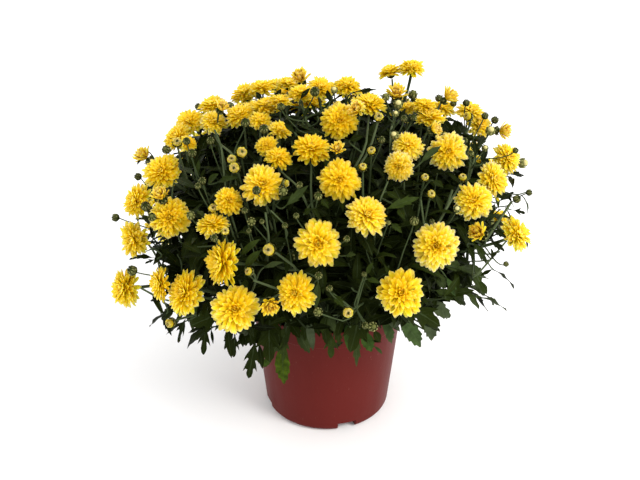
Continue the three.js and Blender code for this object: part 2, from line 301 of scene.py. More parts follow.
def leaf_material():
    """across runs from midrib (0) to edge (1), extra is 1 on the underside."""
    rib_width, vein_slant, vein_waves, vein_width = 0.07, 0.22, 34, 0.16
    skin = Surface("leaf", 0.5, Specular_IOR_Level=0.025)
    across, along, tone, under = skin.marks()
    # tone runs from near black, painted shade for leaves deep in the plant, to light yellow-green; the
    # greyer stops at 0.72 and 0.8 are partly the leaves' own dusty green, partly painted sheen of lit
    # leaves
    base = skin.ramp(tone, [
        (0.0, (0.0026, 0.0038, 0.0004)), (0.45, (0.0135, 0.0205, 0.0015)), (0.62, (0.029, 0.045, 0.0070)),
        (0.72, (0.042, 0.058, 0.021)), (0.80, (0.062, 0.080, 0.040)), (0.88, (0.040, 0.084, 0.0140)),
        (1.0, (0.058, 0.096, 0.0055)),
    ])
    slant = skin.less(along, skin.times(across, vein_slant))
    wave = skin.calc("ABSOLUTE", skin.calc("SINE", skin.times(slant, vein_waves)))
    rib = skin.times(skin.calc("LESS_THAN", across, rib_width), 0.7)
    side_vein = skin.times(skin.calc("LESS_THAN", wave, vein_width), 0.3)
    vein = skin.calc("MAXIMUM", rib, side_vein)
    mottle = skin.noise(140, 3)
    blotch = skin.ramp(mottle, [(0.30, (0, 0, 0)), (0.70, (1, 1, 1))])
    patchy = skin.plus(skin.times(skin.calc("POWER", tone, 6), 0.45), 0.38)
    colour = skin.mix(vein, base, skin.mix(0.4, base, (0.080, 0.112, 0.050)))
    colour = skin.mix(skin.times(under, 0.35), colour, (0.030, 0.040, 0.014))
    colour = skin.mix(skin.times(blotch, patchy), colour, (0.006, 0.010, 0.0015))
    roughness = skin.plus(skin.times(mottle, 0.3), 0.32)
    return skin.painted(colour, skin.less(mottle, vein), 0.4 * MM, roughness)


def stem_material():
    """across is 1 on the ribs, along is 0 where a stem leaves the soil."""
    skin = Surface("stem", 0.6, Specular_IOR_Level=0.03)
    across, along, tone, _ = skin.marks()
    green = skin.ramp(tone, [
        (0.0, (0.010, 0.017, 0.005)), (0.5, (0.046, 0.068, 0.026)), (1.0, (0.140, 0.170, 0.085)),
    ])
    streak = skin.noise(260, 3, (1, 1, 0.15))
    age = skin.less(1.0, skin.calc("MULTIPLY", along, 3.5, clamp=True))
    colour = skin.mix(skin.times(streak, 0.5), green, (0.022, 0.034, 0.011))
    colour = skin.mix(age, colour, (0.030, 0.022, 0.010))
    colour = skin.mix(skin.times(across, 0.25), colour, (0.12, 0.145, 0.070))
    return skin.painted(colour, streak, 0.2 * MM)


def bract_material():
    """Green scales under the heads and around the buds, with pale tips; extra is how creamy."""
    skin = Surface("bract", 0.6, Specular_IOR_Level=0.03)
    _, along, tone, cream = skin.marks()
    green = skin.ramp(tone, [
        (0.0, (0.007, 0.011, 0.002)), (0.5, (0.034, 0.046, 0.007)), (1.0, (0.30, 0.30, 0.085)),
    ])
    tip = skin.times(skin.calc("POWER", along, 4), skin.calc("ADD", tone, 0.3, clamp=True))
    speck = skin.noise(500, 2)
    colour = skin.mix(tip, green, (0.45, 0.44, 0.17))
    colour = skin.mix(cream, colour, (0.78, 0.70, 0.30))
    colour = skin.mix(skin.times(speck, 0.4), colour, (0.012, 0.019, 0.005))
    return skin.painted(colour, speck, 0.2 * MM)


def pot_material():
    skin = Surface("terracotta_plastic", 0.42, Specular_IOR_Level=0.06)
    cloud, flow, dust = skin.noise(9, 3), skin.noise(70, 2, (1, 1, 0.12)), skin.noise(420, 4, (1, 1, 0.5))
    specks = skin.ramp(dust, [(0.70, (0, 0, 0)), (0.78, (1, 1, 1))])
    colour = skin.ramp(cloud, [(0.25, (0.089, 0.0095, 0.0072)), (0.75, (0.107, 0.0122, 0.0098))])
    colour = skin.mix(skin.times(flow, 0.30), colour, (0.080, 0.0088, 0.0067))
    colour = skin.mix(skin.times(specks, 0.22), colour, (0.34, 0.19, 0.16))
    roughness = skin.plus(skin.times(flow, 0.2), 0.32)
    return skin.painted(colour, skin.plus(dust, flow), 0.12 * MM, roughness)


def soil_material():
    skin = Surface("peat", 0.95, Specular_IOR_Level=0.1)
    grain = skin.noise(260, 6)
    colour = skin.ramp(grain, [
        (0.3, (0.010, 0.007, 0.005)), (0.55, (0.034, 0.022, 0.014)), (0.75, (0.09, 0.06, 0.038)),
    ])
    return skin.painted(colour, grain, 0.8 * MM)


# ------------------------------------------------------------------ mesh building

CREASE_ANGLE = math.radians(75)
STALK_SKIN, BRACT_SKIN = 0, 1  # material numbers in the pieces of stalks, calyxes and buds


class Pile:
    """Collects shapes that end up in one mesh: vertices with marks, faces with material numbers."""

    def __init__(self):
        self.points, self.marks, self.faces, self.skins, self.count = [], [], [], [], 0

    def add(self, points, marks, faces, skin=0):
        """Adds one shape; faces come as groups of equal length, marks for all or for each point."""
        points = np.asarray(points, float).reshape(-1, 3)
        marks = np.asarray(marks, float).reshape(-1, 4)
        self.points.append(points)
        self.marks.append(np.broadcast_to(marks, (len(points), 4)))
        for group in faces:
            self.faces += (np.asarray(group) + self.count).tolist()
            self.skins += [skin] * len(group)
        self.count += len(points)

    def build(self, name, materials, slot, replaced=()):
        mesh = bpy.data.meshes.new(name)
        mesh.from_pydata(np.concatenate(self.points).tolist(), [], self.faces)
        attribute = mesh.attributes.new("marks", "FLOAT_COLOR", "POINT")
        attribute.data.foreach_set("color", np.concatenate(self.marks).ravel())
        for material in materials:
            mesh.materials.append(material)
        mesh.polygons.foreach_set("material_index", self.skins)
        smoothen(mesh, CREASE_ANGLE)
        piece = show(bpy.data.objects.new(name, mesh))
        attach(piece, "root")
        for node in replaced:
            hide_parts(node)


def smoothen(mesh, crease):
    mesh.polygons.foreach_set("use_smooth", [True] * len(mesh.polygons))
    mesh.set_sharp_from_angle(angle=crease)


def ring_quads(rings, size, turned=False):
    """Quads between closed rings of points that follow one another; turned makes them face back."""
    quads = []
    for low in range(0, (rings - 1) * size, size):
        for spot in range(size):
            after, high = (spot + 1) % size, low + size
            first, *others = (low + spot, high + spot, high + after, low + after)
            quads.append((first, *(others[::-1] if turned else others)))
    return quads


def fan(tip, start, size, turned=False):
    """Triangles from a tip to the closed ring of points from start on."""
    pairs = [(start + spot, start + (spot + 1) % size) for spot in range(size)]
    return [(tip, *(pair[::-1] if turned else pair)) for pair in pairs]


def round_turns(count):
    """Angles that divide a full turn evenly."""
    return np.arange(count) * 2 * math.pi / count


def basis_for(facing):
    """Three columns: two across the facing direction, then the facing direction."""
    side = unit(np.cross((0.31, 0.17, 0.93) if abs(facing[2]) < 0.9 else (1, 0.2, 0), facing))
    return np.stack([side, np.cross(facing, side), facing], 1)


# ------------------------------------------------------------------ petals

# Where the cross-sections of a petal lie along it, and how wide it is there
LONG_PETAL = (np.array([0.0, 0.26, 0.55, 0.8, 0.94]), np.array([0.40, 0.72, 1.0, 0.96, 0.60]))
MIDDLE_PETAL = (np.array([0.0, 0.38, 0.72, 0.92]), np.array([0.42, 0.84, 1.0, 0.46]))
SHORT_PETAL = (np.array([0.0, 0.48, 0.86]), np.array([0.50, 1.0, 0.70]))
SCALE = (np.array([0.0, 0.42, 0.8]), np.array([0.85, 1.0, 0.6]))
PLAIN_SCALE = (np.array([0.0, 0.55]), np.array([0.85, 0.9]))
PETAL_THICKNESS = 0.35 * MM
SCALE_THICKNESS = 0.3 * MM  # also that of a button's rays

GOLDEN_ANGLE = math.pi * (3 - math.sqrt(5))
FRONT_PETALS, BACK_PETALS = 132, 96


def blades(
    outline, turn, foot, height, pitch, curl, length, width, cup, thick=PETAL_THICKNESS,
    twist=0.0, sway=0.0, ease=1.3,
):
    """Closed, cupped petals set around +Z. All but outline, thick and ease are one number per petal.

    turn: angle around the head; foot, height: where it starts; pitch: its rise there;
    curl: how much more it rises towards the tip, soonest where ease is 1; cup: how far its
    edges stand up; twist, sway: how far it turns and strays sideways.
    Returns points (petals, vertices, 3), along (vertices), and quads and tip faces of one petal.
    """
    stations, widths = outline
    count, rings = len(turn), len(stations)
    numbers = (turn, foot, height, pitch, curl, length, width, cup, twist, sway)
    turn, foot, height, pitch, curl, length, width, cup, twist, sway = (
        np.broadcast_to(np.asarray(number, float), count)[:, None] for number in numbers
    )
    steps = np.append(stations, 1.0)
    middle = (steps[1:] + steps[:-1]) / 2
    angle = pitch + curl * middle**ease
    stride = np.diff(steps) * length
    out = np.cumsum(np.concatenate([foot, np.cos(angle) * stride], 1), 1)
    rise = np.cumsum(np.concatenate([height, np.sin(angle) * stride], 1), 1)
    tilt = pitch + curl * stations**ease
    half = width * widths / 2
    drift = sway * length * stations**2

    points = np.zeros((count, rings * 4 + 1, 3))
    left_lift, right_lift = (cup * half + side * half * twist * stations for side in (-1, 1))
    sink = -thick * (0.5 + 0.5 * widths)
    for corner, (side, raised) in enumerate([(-1, left_lift), (0, 0), (1, right_lift), (0, sink)]):
        points[:, corner:-1:4, 0] = side * half + drift
        points[:, corner:-1:4, 1] = out[:, :-1] - np.sin(tilt) * raised
        points[:, corner:-1:4, 2] = rise[:, :-1] + np.cos(tilt) * raised
    points[:, -1] = np.concatenate([sway * length, out[:, -1:], rise[:, -1:]], 1)

    x, y, z = points[..., 0], points[..., 1], points[..., 2]
    points = np.stack([x * np.cos(turn) - y * np.sin(turn), x * np.sin(turn) + y * np.cos(turn), z], -1)
    along = np.append(np.repeat(stations, 4), 1.0)
    quads = [(0, 3, 2, 1)] + [(after, *others) for *others, after in ring_quads(rings, 4)]
    return points, along, quads, fan(rings * 4, rings * 4 - 4, 4, turned=True)


def lay_blades(pile, shape, ring, tone, extra, basis, place, skin=0):
    points, along, quads, tips = shape
    count, size = points.shape[:2]
    marks = np.empty((count, size, 4))
    marks[..., 0] = np.broadcast_to(ring, count)[:, None]
    marks[..., 1] = along
    marks[..., 2] = np.broadcast_to(np.clip(tone, 0, 1), count)[:, None]
    marks[..., 3] = extra
    offsets = (np.arange(count) * size)[:, None, None]
    faces = [(np.array([group]) + offsets).reshape(-1, len(group[0])) for group in (quads, tips)]
    pile.add(points @ basis.T + place, marks, faces, skin)


def spread(values, positions, at):
    return np.interp(at, positions, values)


# The double flower's petals by their place from rim (0) to heart (1): from, up to, and outline
PETAL_LAYERS = [(0, 0.36, LONG_PETAL), (0.36, 0.7, MIDDLE_PETAL), (0.7, 2, SHORT_PETAL)]
HALF_OPEN_PETALS = 54


def full_flower(pile, head, basis):
    """A double flower: layer on layer of rays, shorter and more upright towards its heart."""
    radius, loose, petal_count = head["across"] / 2, head["looseness"], head.get("petals", FRONT_PETALS)
    count = int(petal_count * rng.uniform(0.93, 1.07))
    breadth = radius * math.sqrt(FRONT_PETALS / petal_count)
    ring = np.arange(count) / (count - 1)
    jitter = rng.normal(size=(9, count))
    tone = head["hue"] + rng.normal() * 0.07 + 0.14 * jitter[6]
    turn = np.arange(count) * GOLDEN_ANGLE + 0.06 * jitter[3]
    uneven = np.sin(2 * turn + rng.uniform(0, 6)) + np.sin(3 * turn + rng.uniform(0, 6))

    layers = [0, 0.22, 0.45, 0.7, 0.88, 1]
    lengths = radius * spread([0.86, 0.85, 0.78, 0.59, 0.40, 0.27], layers, ring)
    widths = breadth * spread([0.245, 0.235, 0.195, 0.16, 0.125, 0.10], layers, ring)
    pitch = spread([-10, -1, 10, 25, 45, 66], layers, ring) + rng.uniform(-3, 5)
    curl = spread([-4, 0, 5, 16, 36, 60], layers, ring)
    petals = {
        "turn": turn,
        "foot": radius * spread([0.12, 0.10, 0.06, 0.03], [0, 0.4, 0.75, 1], ring),
        "height": radius * spread([-0.05, 0.04, 0.12, 0.18, 0.17], [0, 0.25, 0.5, 0.8, 1], ring),
        "pitch": np.radians(pitch + 4.0 * loose * jitter[1] + 2 * uneven),
        "curl": np.radians(curl + 9 * loose * jitter[2]),
        "length": lengths * (1 + 0.055 * jitter[0] + 0.03 * uneven),
        "width": widths * (1 + 0.08 * jitter[4]),
        "cup": spread([0.20, 0.30, 0.50], [0, 0.5, 1], ring) + 0.08 * jitter[5],
        "twist": 0.16 * loose * jitter[7],
        "sway": 0.06 * loose * jitter[8],
    }
    for first, last, outline in PETAL_LAYERS:
        chosen = (ring >= first) & (ring < last)
        some = {name: numbers[chosen] for name, numbers in petals.items()}
        shape = blades(outline, **some)
        lay_blades(pile, shape, ring[chosen], tone[chosen], 0.0, basis, head["place"])


def half_open_flower(pile, head, basis):
    """A young flower: narrow golden rays that still stand up around the heart."""
    radius, loose, count = 0.58 * head["across"], head["looseness"], HALF_OPEN_PETALS
    ring = np.arange(count) / (count - 1)
    jitter = rng.normal(size=(6, count))
    shape = blades(
        LONG_PETAL,
        turn=np.arange(count) * GOLDEN_ANGLE,
        foot=radius * spread([0.36, 0.05], [0, 1], ring),
        height=radius * spread([-0.1, 0.2], [0, 1], ring),
        pitch=np.radians(spread([40, 66, 86], [0, 0.5, 1], ring) + 6 * loose * jitter[0]),
        curl=np.radians(spread([4, 26, 50], [0, 0.5, 1], ring) + 12 * loose * jitter[1]),
        length=radius * spread([1.0, 1.2, 0.8], [0, 0.45, 1], ring) * (1 + 0.07 * jitter[2]),
        width=radius * spread([0.38, 0.24], [0, 1], ring),
        cup=0.42,
        twist=0.13 * jitter[4],
        sway=0.05 * jitter[5],
    )
    tone = head["hue"] + 0.1 + 0.15 * jitter[3]
    lay_blades(pile, shape, 0.6 * ring, tone, 1.15 - head["hue"], basis, head["place"])


# Layers of a button's rays: count, foot, height, pitch, curl, length and width
BUTTON_LAYERS = [
    (15, 0.72, -0.16, 66, 122, 1.0, 0.40),
    (13, 0.54, 0.02, 62, 124, 0.78, 0.34),
    (8, 0.34, 0.12, 66, 104, 0.44, 0.28),
]


def button(pile, head, basis):
    """A flower just opening: short rays bent inward around a small dark dimple."""
    radius = head["across"] / 2
    for count, foot, height, pitch, curl, length, width in BUTTON_LAYERS:
        jitter = rng.normal(size=(3, count))
        points, along, *faces = blades(
            MIDDLE_PETAL,
            turn=round_turns(count) + rng.uniform(0, 1),
            foot=foot * radius,
            height=height * radius,
            pitch=np.radians(pitch + 4 * jitter[0]),
            curl=np.radians(curl + 6 * jitter[1]),
            length=length * radius * (1 + 0.05 * jitter[2]),
            width=width * radius,
            cup=-0.12,
            thick=SCALE_THICKNESS,
        )
        shape = (points, 0.5 + 0.5 * along, *faces)
        lay_blades(pile, shape, 0.75 - foot, head["hue"] + 0.4, 0.1, basis, head["place"])


MAKERS = {"open": full_flower, "half": half_open_flower, "button": button}


def scales(pile, place, basis, radius, rows, wrap, tone, outline=SCALE):
    """Overlapping green scales that hug a ball of the given radius from below."""
    for row, (count, reach) in enumerate(rows):
        shape = blades(
            outline,
            turn=round_turns(count) + row * math.pi / count,
            foot=radius * 0.16,
            height=(-0.99 - 0.03 * row) * radius,
            pitch=np.radians(9),
            curl=wrap * reach,
            length=radius * (1.02 + 0.04 * row) * wrap * reach,
            width=radius * 6.9 / count,
            cup=0.16,
            thick=SCALE_THICKNESS,
            twist=0.05 * rng.normal(size=count),
            ease=1.0,
        )
        lay_blades(pile, shape, 0.0, tone + 0.15 * rng.normal(size=count), 0.0, basis, place, BRACT_SKIN)


def ball(pile, place, basis, radius, squash, marks, skin=0, rows=4, columns=8):
    """A smooth closed core, squash high for 1 wide."""
    polar, around = np.linspace(0, math.pi, rows + 2)[1:-1], round_turns(columns)
    grid = np.stack([
        np.outer(np.sin(polar), np.cos(around)),
        np.outer(np.sin(polar), np.sin(around)),
        np.outer(np.cos(polar), np.ones(columns)) * squash,
    ], -1).reshape(-1, 3)
    points = np.concatenate([grid, [(0, 0, squash), (0, 0, -squash)]]) * radius
    top, last = rows * columns, (rows - 1) * columns
    caps = fan(top, 0, columns) + fan(top + 1, last, columns, turned=True)
    pile.add(points @ basis.T + place, marks, [ring_quads(rows, columns), caps], skin)


# ------------------------------------------------------------------ stems

RIB_HEIGHT = 0.07
KNOT_HEIGHT = 0.05


def bezier(a, b, c, d, count):
    t = np.linspace(0, 1, count)[:, None]
    return (1 - t) ** 3 * a + 3 * (1 - t) ** 2 * t * b + 3 * (1 - t) * t**2 * c + t**3 * d


def tangents(path):
    way = np.gradient(path, axis=0)
    return way / np.linalg.norm(way, axis=1)[:, None]


def frames_along(path):
    """The direction of a path at each of its points, and a side direction that turns with it."""
    ways = tangents(path)
    side = unit(np.cross(ways[0], (0.3, 0.9, 0.1)))
    sides = []
    for way in ways:
        side = unit(side - (side @ way) * way)
        sides.append(side)
    return ways, np.array(sides)


def tube(pile, path, radii, start_along, tone, sides=6):
    """A ribbed, closed stalk along a path, from the first of two radii to the second."""
    ways, first_side = frames_along(path)
    count = len(path)
    radius = np.linspace(*radii, count) * (1 + KNOT_HEIGHT * np.sin(np.arange(count) * 2.1 + tone * 9))
    ribbed = np.arange(sides) % 2 == 0
    rib = 1 + RIB_HEIGHT * np.where(ribbed, 1, -1)
    around = round_turns(sides)
    x, y = rib * np.cos(around), rib * np.sin(around)
    ring = x[:, None] * first_side[:, None] + y[:, None] * np.cross(ways, first_side)[:, None]
    points = (path[:, None] + ring * radius[:, None, None]).reshape(-1, 3)
    marks = np.zeros((len(points) + 2, 4))
    marks[:, 2] = tone
    marks[:-2, 0] = np.tile(ribbed, count)
    marks[:-2, 1] = np.repeat(np.linspace(start_along, 1, count), sides)
    marks[-1, 1] = 1
    end = count * sides
    caps = fan(end, 0, sides, turned=True) + fan(end + 1, end - sides, sides)
    quads = ring_quads(count, sides, turned=True)
    pile.add(np.concatenate([points, path[[0, -1]]]), marks, [quads, caps], STALK_SKIN)


# ------------------------------------------------------------------ leaves

# Half outlines as (across, along at the edge, along at the midrib), shares of the length
OUTLINES = {
    "lobed": [
        (0.016, 0.0, 0.0), (0.016, 0.20, 0.20), (0.05, 0.29, 0.27), (0.12, 0.38, 0.32), (0.21, 0.51, 0.37),
        (0.24, 0.61, 0.42), (0.15, 0.545, 0.47), (0.10, 0.56, 0.52), (0.155, 0.65, 0.58),
        (0.215, 0.80, 0.64), (0.14, 0.745, 0.70), (0.088, 0.765, 0.75), (0.098, 0.84, 0.82),
        (0.075, 0.92, 0.90), (0.0, 1.0, 1.0),
    ],
    "trident": [
        (0.013, 0.0, 0.0), (0.014, 0.28, 0.28), (0.04, 0.36, 0.35), (0.09, 0.45, 0.39), (0.15, 0.58, 0.43),
        (0.18, 0.70, 0.47), (0.11, 0.62, 0.52), (0.066, 0.60, 0.58), (0.075, 0.70, 0.69),
        (0.082, 0.80, 0.79), (0.062, 0.89, 0.88), (0.030, 0.96, 0.95), (0.0, 1.0, 1.0),
    ],
    "toothed": [
        (0.015, 0.0, 0.0), (0.018, 0.15, 0.15), (0.060, 0.26, 0.25), (0.100, 0.36, 0.33),
        (0.145, 0.51, 0.42), (0.092, 0.48, 0.46), (0.105, 0.58, 0.55), (0.132, 0.72, 0.62),
        (0.078, 0.69, 0.68), (0.056, 0.82, 0.81), (0.028, 0.93, 0.92), (0.0, 1.0, 1.0),
    ],
    "lance": [
        (0.016, 0.0, 0.0), (0.026, 0.09, 0.09), (0.070, 0.22, 0.20), (0.110, 0.37, 0.35),
        (0.118, 0.52, 0.50), (0.094, 0.69, 0.68), (0.052, 0.85, 0.84), (0.0, 1.0, 1.0),
    ],
    "broad": [
        (0.016, 0.0, 0.0), (0.030, 0.10, 0.10), (0.120, 0.24, 0.20), (0.200, 0.39, 0.33),
        (0.235, 0.53, 0.42), (0.200, 0.56, 0.50), (0.215, 0.69, 0.60), (0.155, 0.72, 0.68),
        (0.150, 0.84, 0.77), (0.088, 0.86, 0.85), (0.050, 0.94, 0.93), (0.0, 1.0, 1.0),
    ],
}
HIDDEN_LANCE = [(0.03, 0.0, 0.0), (0.15, 0.35, 0.33), (0.14, 0.70, 0.69), (0.0, 1.0, 1.0)]
LEAF_THICKNESS = 0.35 * MM


def leaf_pattern(outline, above):
    """A flat leaf, with the given places across its upper side and the inner ones below."""
    rows = len(outline) - 1
    half, edge_along, middle_along = (numbers[:-1, None] for numbers in np.array(outline).T)
    across = np.array(above + above[-2:0:-1])
    columns, share = len(across), np.abs(across)
    tip = rows * columns
    base = [(0, c + 1, c) for c in range(1, columns - 1)]
    return {
        "x": np.append(half * across, 0.0),
        "y": np.append(middle_along * (1 - share) + edge_along * share, 1.0),
        "share": np.append(np.tile(share, rows), 0.0),
        "below": np.append(np.tile(np.arange(columns) >= len(above), rows), 0.5),
        "faces": [ring_quads(rows, columns, turned=True), fan(tip, tip - columns, columns) + base],
    }


PLAIN = {kind: leaf_pattern(outline, [-1, 0, 1]) for kind, outline in OUTLINES.items()}
FINE = {kind: leaf_pattern(outline, [-1, -0.5, 0, 0.5, 1]) for kind, outline in OUTLINES.items()}
HIDDEN = {"lance": leaf_pattern(HIDDEN_LANCE, [-1, 0, 1])}

# What grows along the stems: between which shares of a stem, how far apart, how long at its
# first and last leaf, of what kinds from below to above, and how far the leaves droop in radians
MAIN_FOLIAGE = {
    "first": 0.16, "last": 0.92, "gap": 10.5 * MM, "sizes": (54 * MM, 30 * MM),
    "kinds": ("lobed", "lobed", "toothed", "lance", "lance"), "droop": 0.8,
}
SIDE_FOLIAGE = {
    "first": 0.1, "last": 0.8, "gap": 12 * MM, "sizes": (33 * MM, 22 * MM),
    "kinds": ("toothed", "lance", "lance"), "droop": 0.7,
}
BUD_FOLIAGE = {
    "first": 0.25, "last": 0.75, "gap": 18 * MM, "sizes": (22 * MM, 15 * MM),
    "kinds": ("lance",), "droop": 0.5,
}
FILLER_FOLIAGE = {
    "first": 0.12, "last": 1.0, "gap": 7.5 * MM, "sizes": (38 * MM, 28 * MM),
    "kinds": ("toothed", "lance", "lance"), "droop": 0.8,
}
HIDDEN_FOLIAGE = {
    "first": 0.12, "last": 1.0, "gap": 7.5 * MM, "sizes": (48 * MM, 40 * MM),
    "kinds": ("lance",), "droop": 0.8, "patterns": HIDDEN,
}
RIM_FOLIAGE = {
    "first": 0.25, "last": 1.0, "gap": 8 * MM, "sizes": (50 * MM, 36 * MM),
    "kinds": ("lobed", "lobed", "trident", "toothed"), "droop": 0.9,
}
LEAF_TURN = 2.4  # around the stem from each leaf to the next, in radians
LEAF_SOIL_GAP, LEAF_RIM_GAP, FOOT_SOIL_GAP = 6 * MM, 5 * MM, 8 * MM
# cap on the tone of leaves along the shoots, whose tone is painted shade: darker the deeper they sit
LIGHTEST_INNER_LEAF = 0.67
SHORTEST_PATH = 4  # points that are left of a shoot at least
DOME_CROWN = 225 * MM  # above it no leaf stands out of the flowers


def leaf(pile, kind, base, way, upper, length, bend, fold, tone, breadth=1.0, patterns=PLAIN):
    """One leaf from its base along way, its upper side towards upper, its tip bent down."""
    pattern = patterns[kind]
    x, y = pattern["x"] * breadth * length, pattern["y"]
    wave = 0.02 * length * np.sin(y * 13 + tone * 30 + 1.3 * np.sign(x)) * pattern["share"]
    lift = fold * np.abs(x) + wave - pattern["below"] * LEAF_THICKNESS
    angle = bend * y
    forward = np.sin(angle) * (length / bend + lift)
    height = np.cos(angle) * lift - (1 - np.cos(angle)) / bend * length
    way = unit(way)
    upper = unit(upper - (upper @ way) * way)
    points = base + x[:, None] * np.cross(way, upper) + forward[:, None] * way + height[:, None] * upper
    marks = np.stack([pattern["share"], y, np.full(len(y), tone), pattern["below"]], 1)
    pile.add(points, marks, pattern["faces"])


def midrib(base, heading, upper, size, bend):
    """Three places along the bent midrib of a leaf, the last of them its tip."""
    upper = unit(upper - (upper @ heading) * heading)
    angles = [bend * share for share in (0.35, 0.7, 1.0)]
    return [base + size / bend * (math.sin(a) * heading - (1 - math.cos(a)) * upper) for a in angles]


def in_pot(point, above, beside):
    """Whether a place is in the pot's wall or the soil, or within these distances of the rim."""
    return point[2] < POT_HEIGHT + above and np.hypot(*point[:2]) < POT_RIM_RADIUS + beside


def depth_share(points):
    """0 at the middle of the plant and 1 where its flowers lie."""
    return np.linalg.norm((points - DOME_HEART) / DOME_SIZE, axis=-1)


def in_clearing(point, margin=0):
    """Whether a place shows where the photograph has only backdrop, or lies in the rim zone."""
    x, y = pixel_of(point)
    left, top, right, bottom = RIM_ZONE
    if point[1] < 0 and left < x < right and top < y < bottom:
        return True
    return any(math.hypot(x - px, y - py) < radius + margin for px, py, radius in CLEARINGS)


def kept_back(path):
    """A leafy shoot up to where it would come in front of the backdrop or the pot."""
    while len(path) > SHORTEST_PATH and in_clearing(path[-1]):
        path = path[:-1]
    return path


def leaves_along(pile, path, first, last, gap, sizes, kinds, droop, patterns=PLAIN):
    """Leaves in a spiral up a stem, left out where they would be in the pot or in a clearing."""
    ways, sides = frames_along(path)
    walk = np.concatenate([[0], np.cumsum(np.linalg.norm(np.diff(path, axis=0), axis=1))])
    turn = rng.uniform(0, 2 * math.pi)
    for spot in np.arange(first * walk[-1] + rng.uniform(0, gap), last * walk[-1], gap):
        share = spot / walk[-1]
        at = np.interp(spot, walk, np.arange(len(path)))
        low = min(int(at), len(path) - 2)
        centre = path[low] + (path[low + 1] - path[low]) * (at - low)
        way, side = ways[low], sides[low]
        turn += LEAF_TURN + rng.normal() * 0.25
        out = math.cos(turn) * side + math.sin(turn) * np.cross(way, side)
        if in_pot(centre, FOOT_SOIL_GAP, 0):
            continue
        heading = unit(out + rng.uniform(0.35, 1.0) * way + 0.15 * UP)
        upper = unit(way + 0.9 * UP + 0.15 * rng.normal(size=3))
        if abs(upper @ heading) > 0.95:
            upper = unit(way + 0.3 * side)
        size = np.interp(share, [0, 1], sizes) * rng.uniform(0.8, 1.15)
        kind = kinds[min(int((rng.random() + share) * 0.5 * len(kinds)), len(kinds) - 1)]
        base = centre + out * 0.9 * MM
        bend = droop * rng.uniform(0.3, 1.5)
        spots = midrib(base, heading, upper, size, bend)
        proud = spots[-1][2] > DOME_CROWN and depth_share(spots[-1]) > 0.98
        sunk = any(in_pot(spot, LEAF_SOIL_GAP, LEAF_RIM_GAP) for spot in spots)
        if proud or sunk or any(in_clearing(spot) for spot in spots):
            continue
        # Painted shade: the deeper a leaf sits in the plant, the darker its tone, down to near black,
        # standing in for the shade in there.
        tone = 0.04 + 0.46 * depth_share(base + heading * size * 0.5) ** 4 + 0.13 * rng.normal()
        tone, fold = float(np.clip(tone, 0, LIGHTEST_INNER_LEAF)), rng.uniform(0.15, 0.5)
        leaf(pile, kind, base, heading, upper, size, bend, fold, tone, patterns=patterns)


# ------------------------------------------------------------------ what the frame says

CALYX_DEPTH = 9.3 * MM  # from a head's petals down to the top of its stem
SHOULDER_SHARE = 0.36
NECK_SHARE = 0.28
ROOT_DEPTH = 12 * MM
STEM_COUNT = sum(name.startswith("stem_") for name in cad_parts)


def node_points(name):
    points = np.array([v.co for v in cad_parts[name].data.vertices])
    return np.unique(np.round(points, 6), axis=0)


def axes_of(points):
    """Middle of some points, and the directions in which they spread least and most."""
    middle = points.mean(0)
    _, vectors = np.linalg.eigh(np.cov((points - middle).T))
    return middle, vectors[:, 0], vectors[:, 2]


def read_stem(number):
    """Root, top, facing, place and width of one CAD stem with its head, and its main path."""
    stem, head = node_points(f"stem_{number:02d}"), node_points(f"flower_head_{number:02d}")
    root = stem[stem[:, 2] < stem[:, 2].min() + 0.2 * MM].mean(0)
    middle = head.mean(0)
    nearest = np.argsort(np.linalg.norm(stem - middle, axis=1))
    top = stem[nearest[:6]].mean(0)
    facing = unit(middle - top)
    place = top + facing * CALYX_DEPTH
    across = 2 * np.linalg.norm(head - place - np.outer((head - place) @ facing, facing), axis=1).max()
    rise = np.linalg.norm(top - root)
    shoulder, neck = root + rise * SHOULDER_SHARE * UP, top - facing * rise * NECK_SHARE
    shown = bezier(root, shoulder, neck, top + facing * 2 * MM, 30)
    path = np.concatenate([[root - ROOT_DEPTH * UP], shown])
    return {"number": number, "facing": facing, "place": place, "across": across, "path": path}


# ------------------------------------------------------------------ what the photograph shows

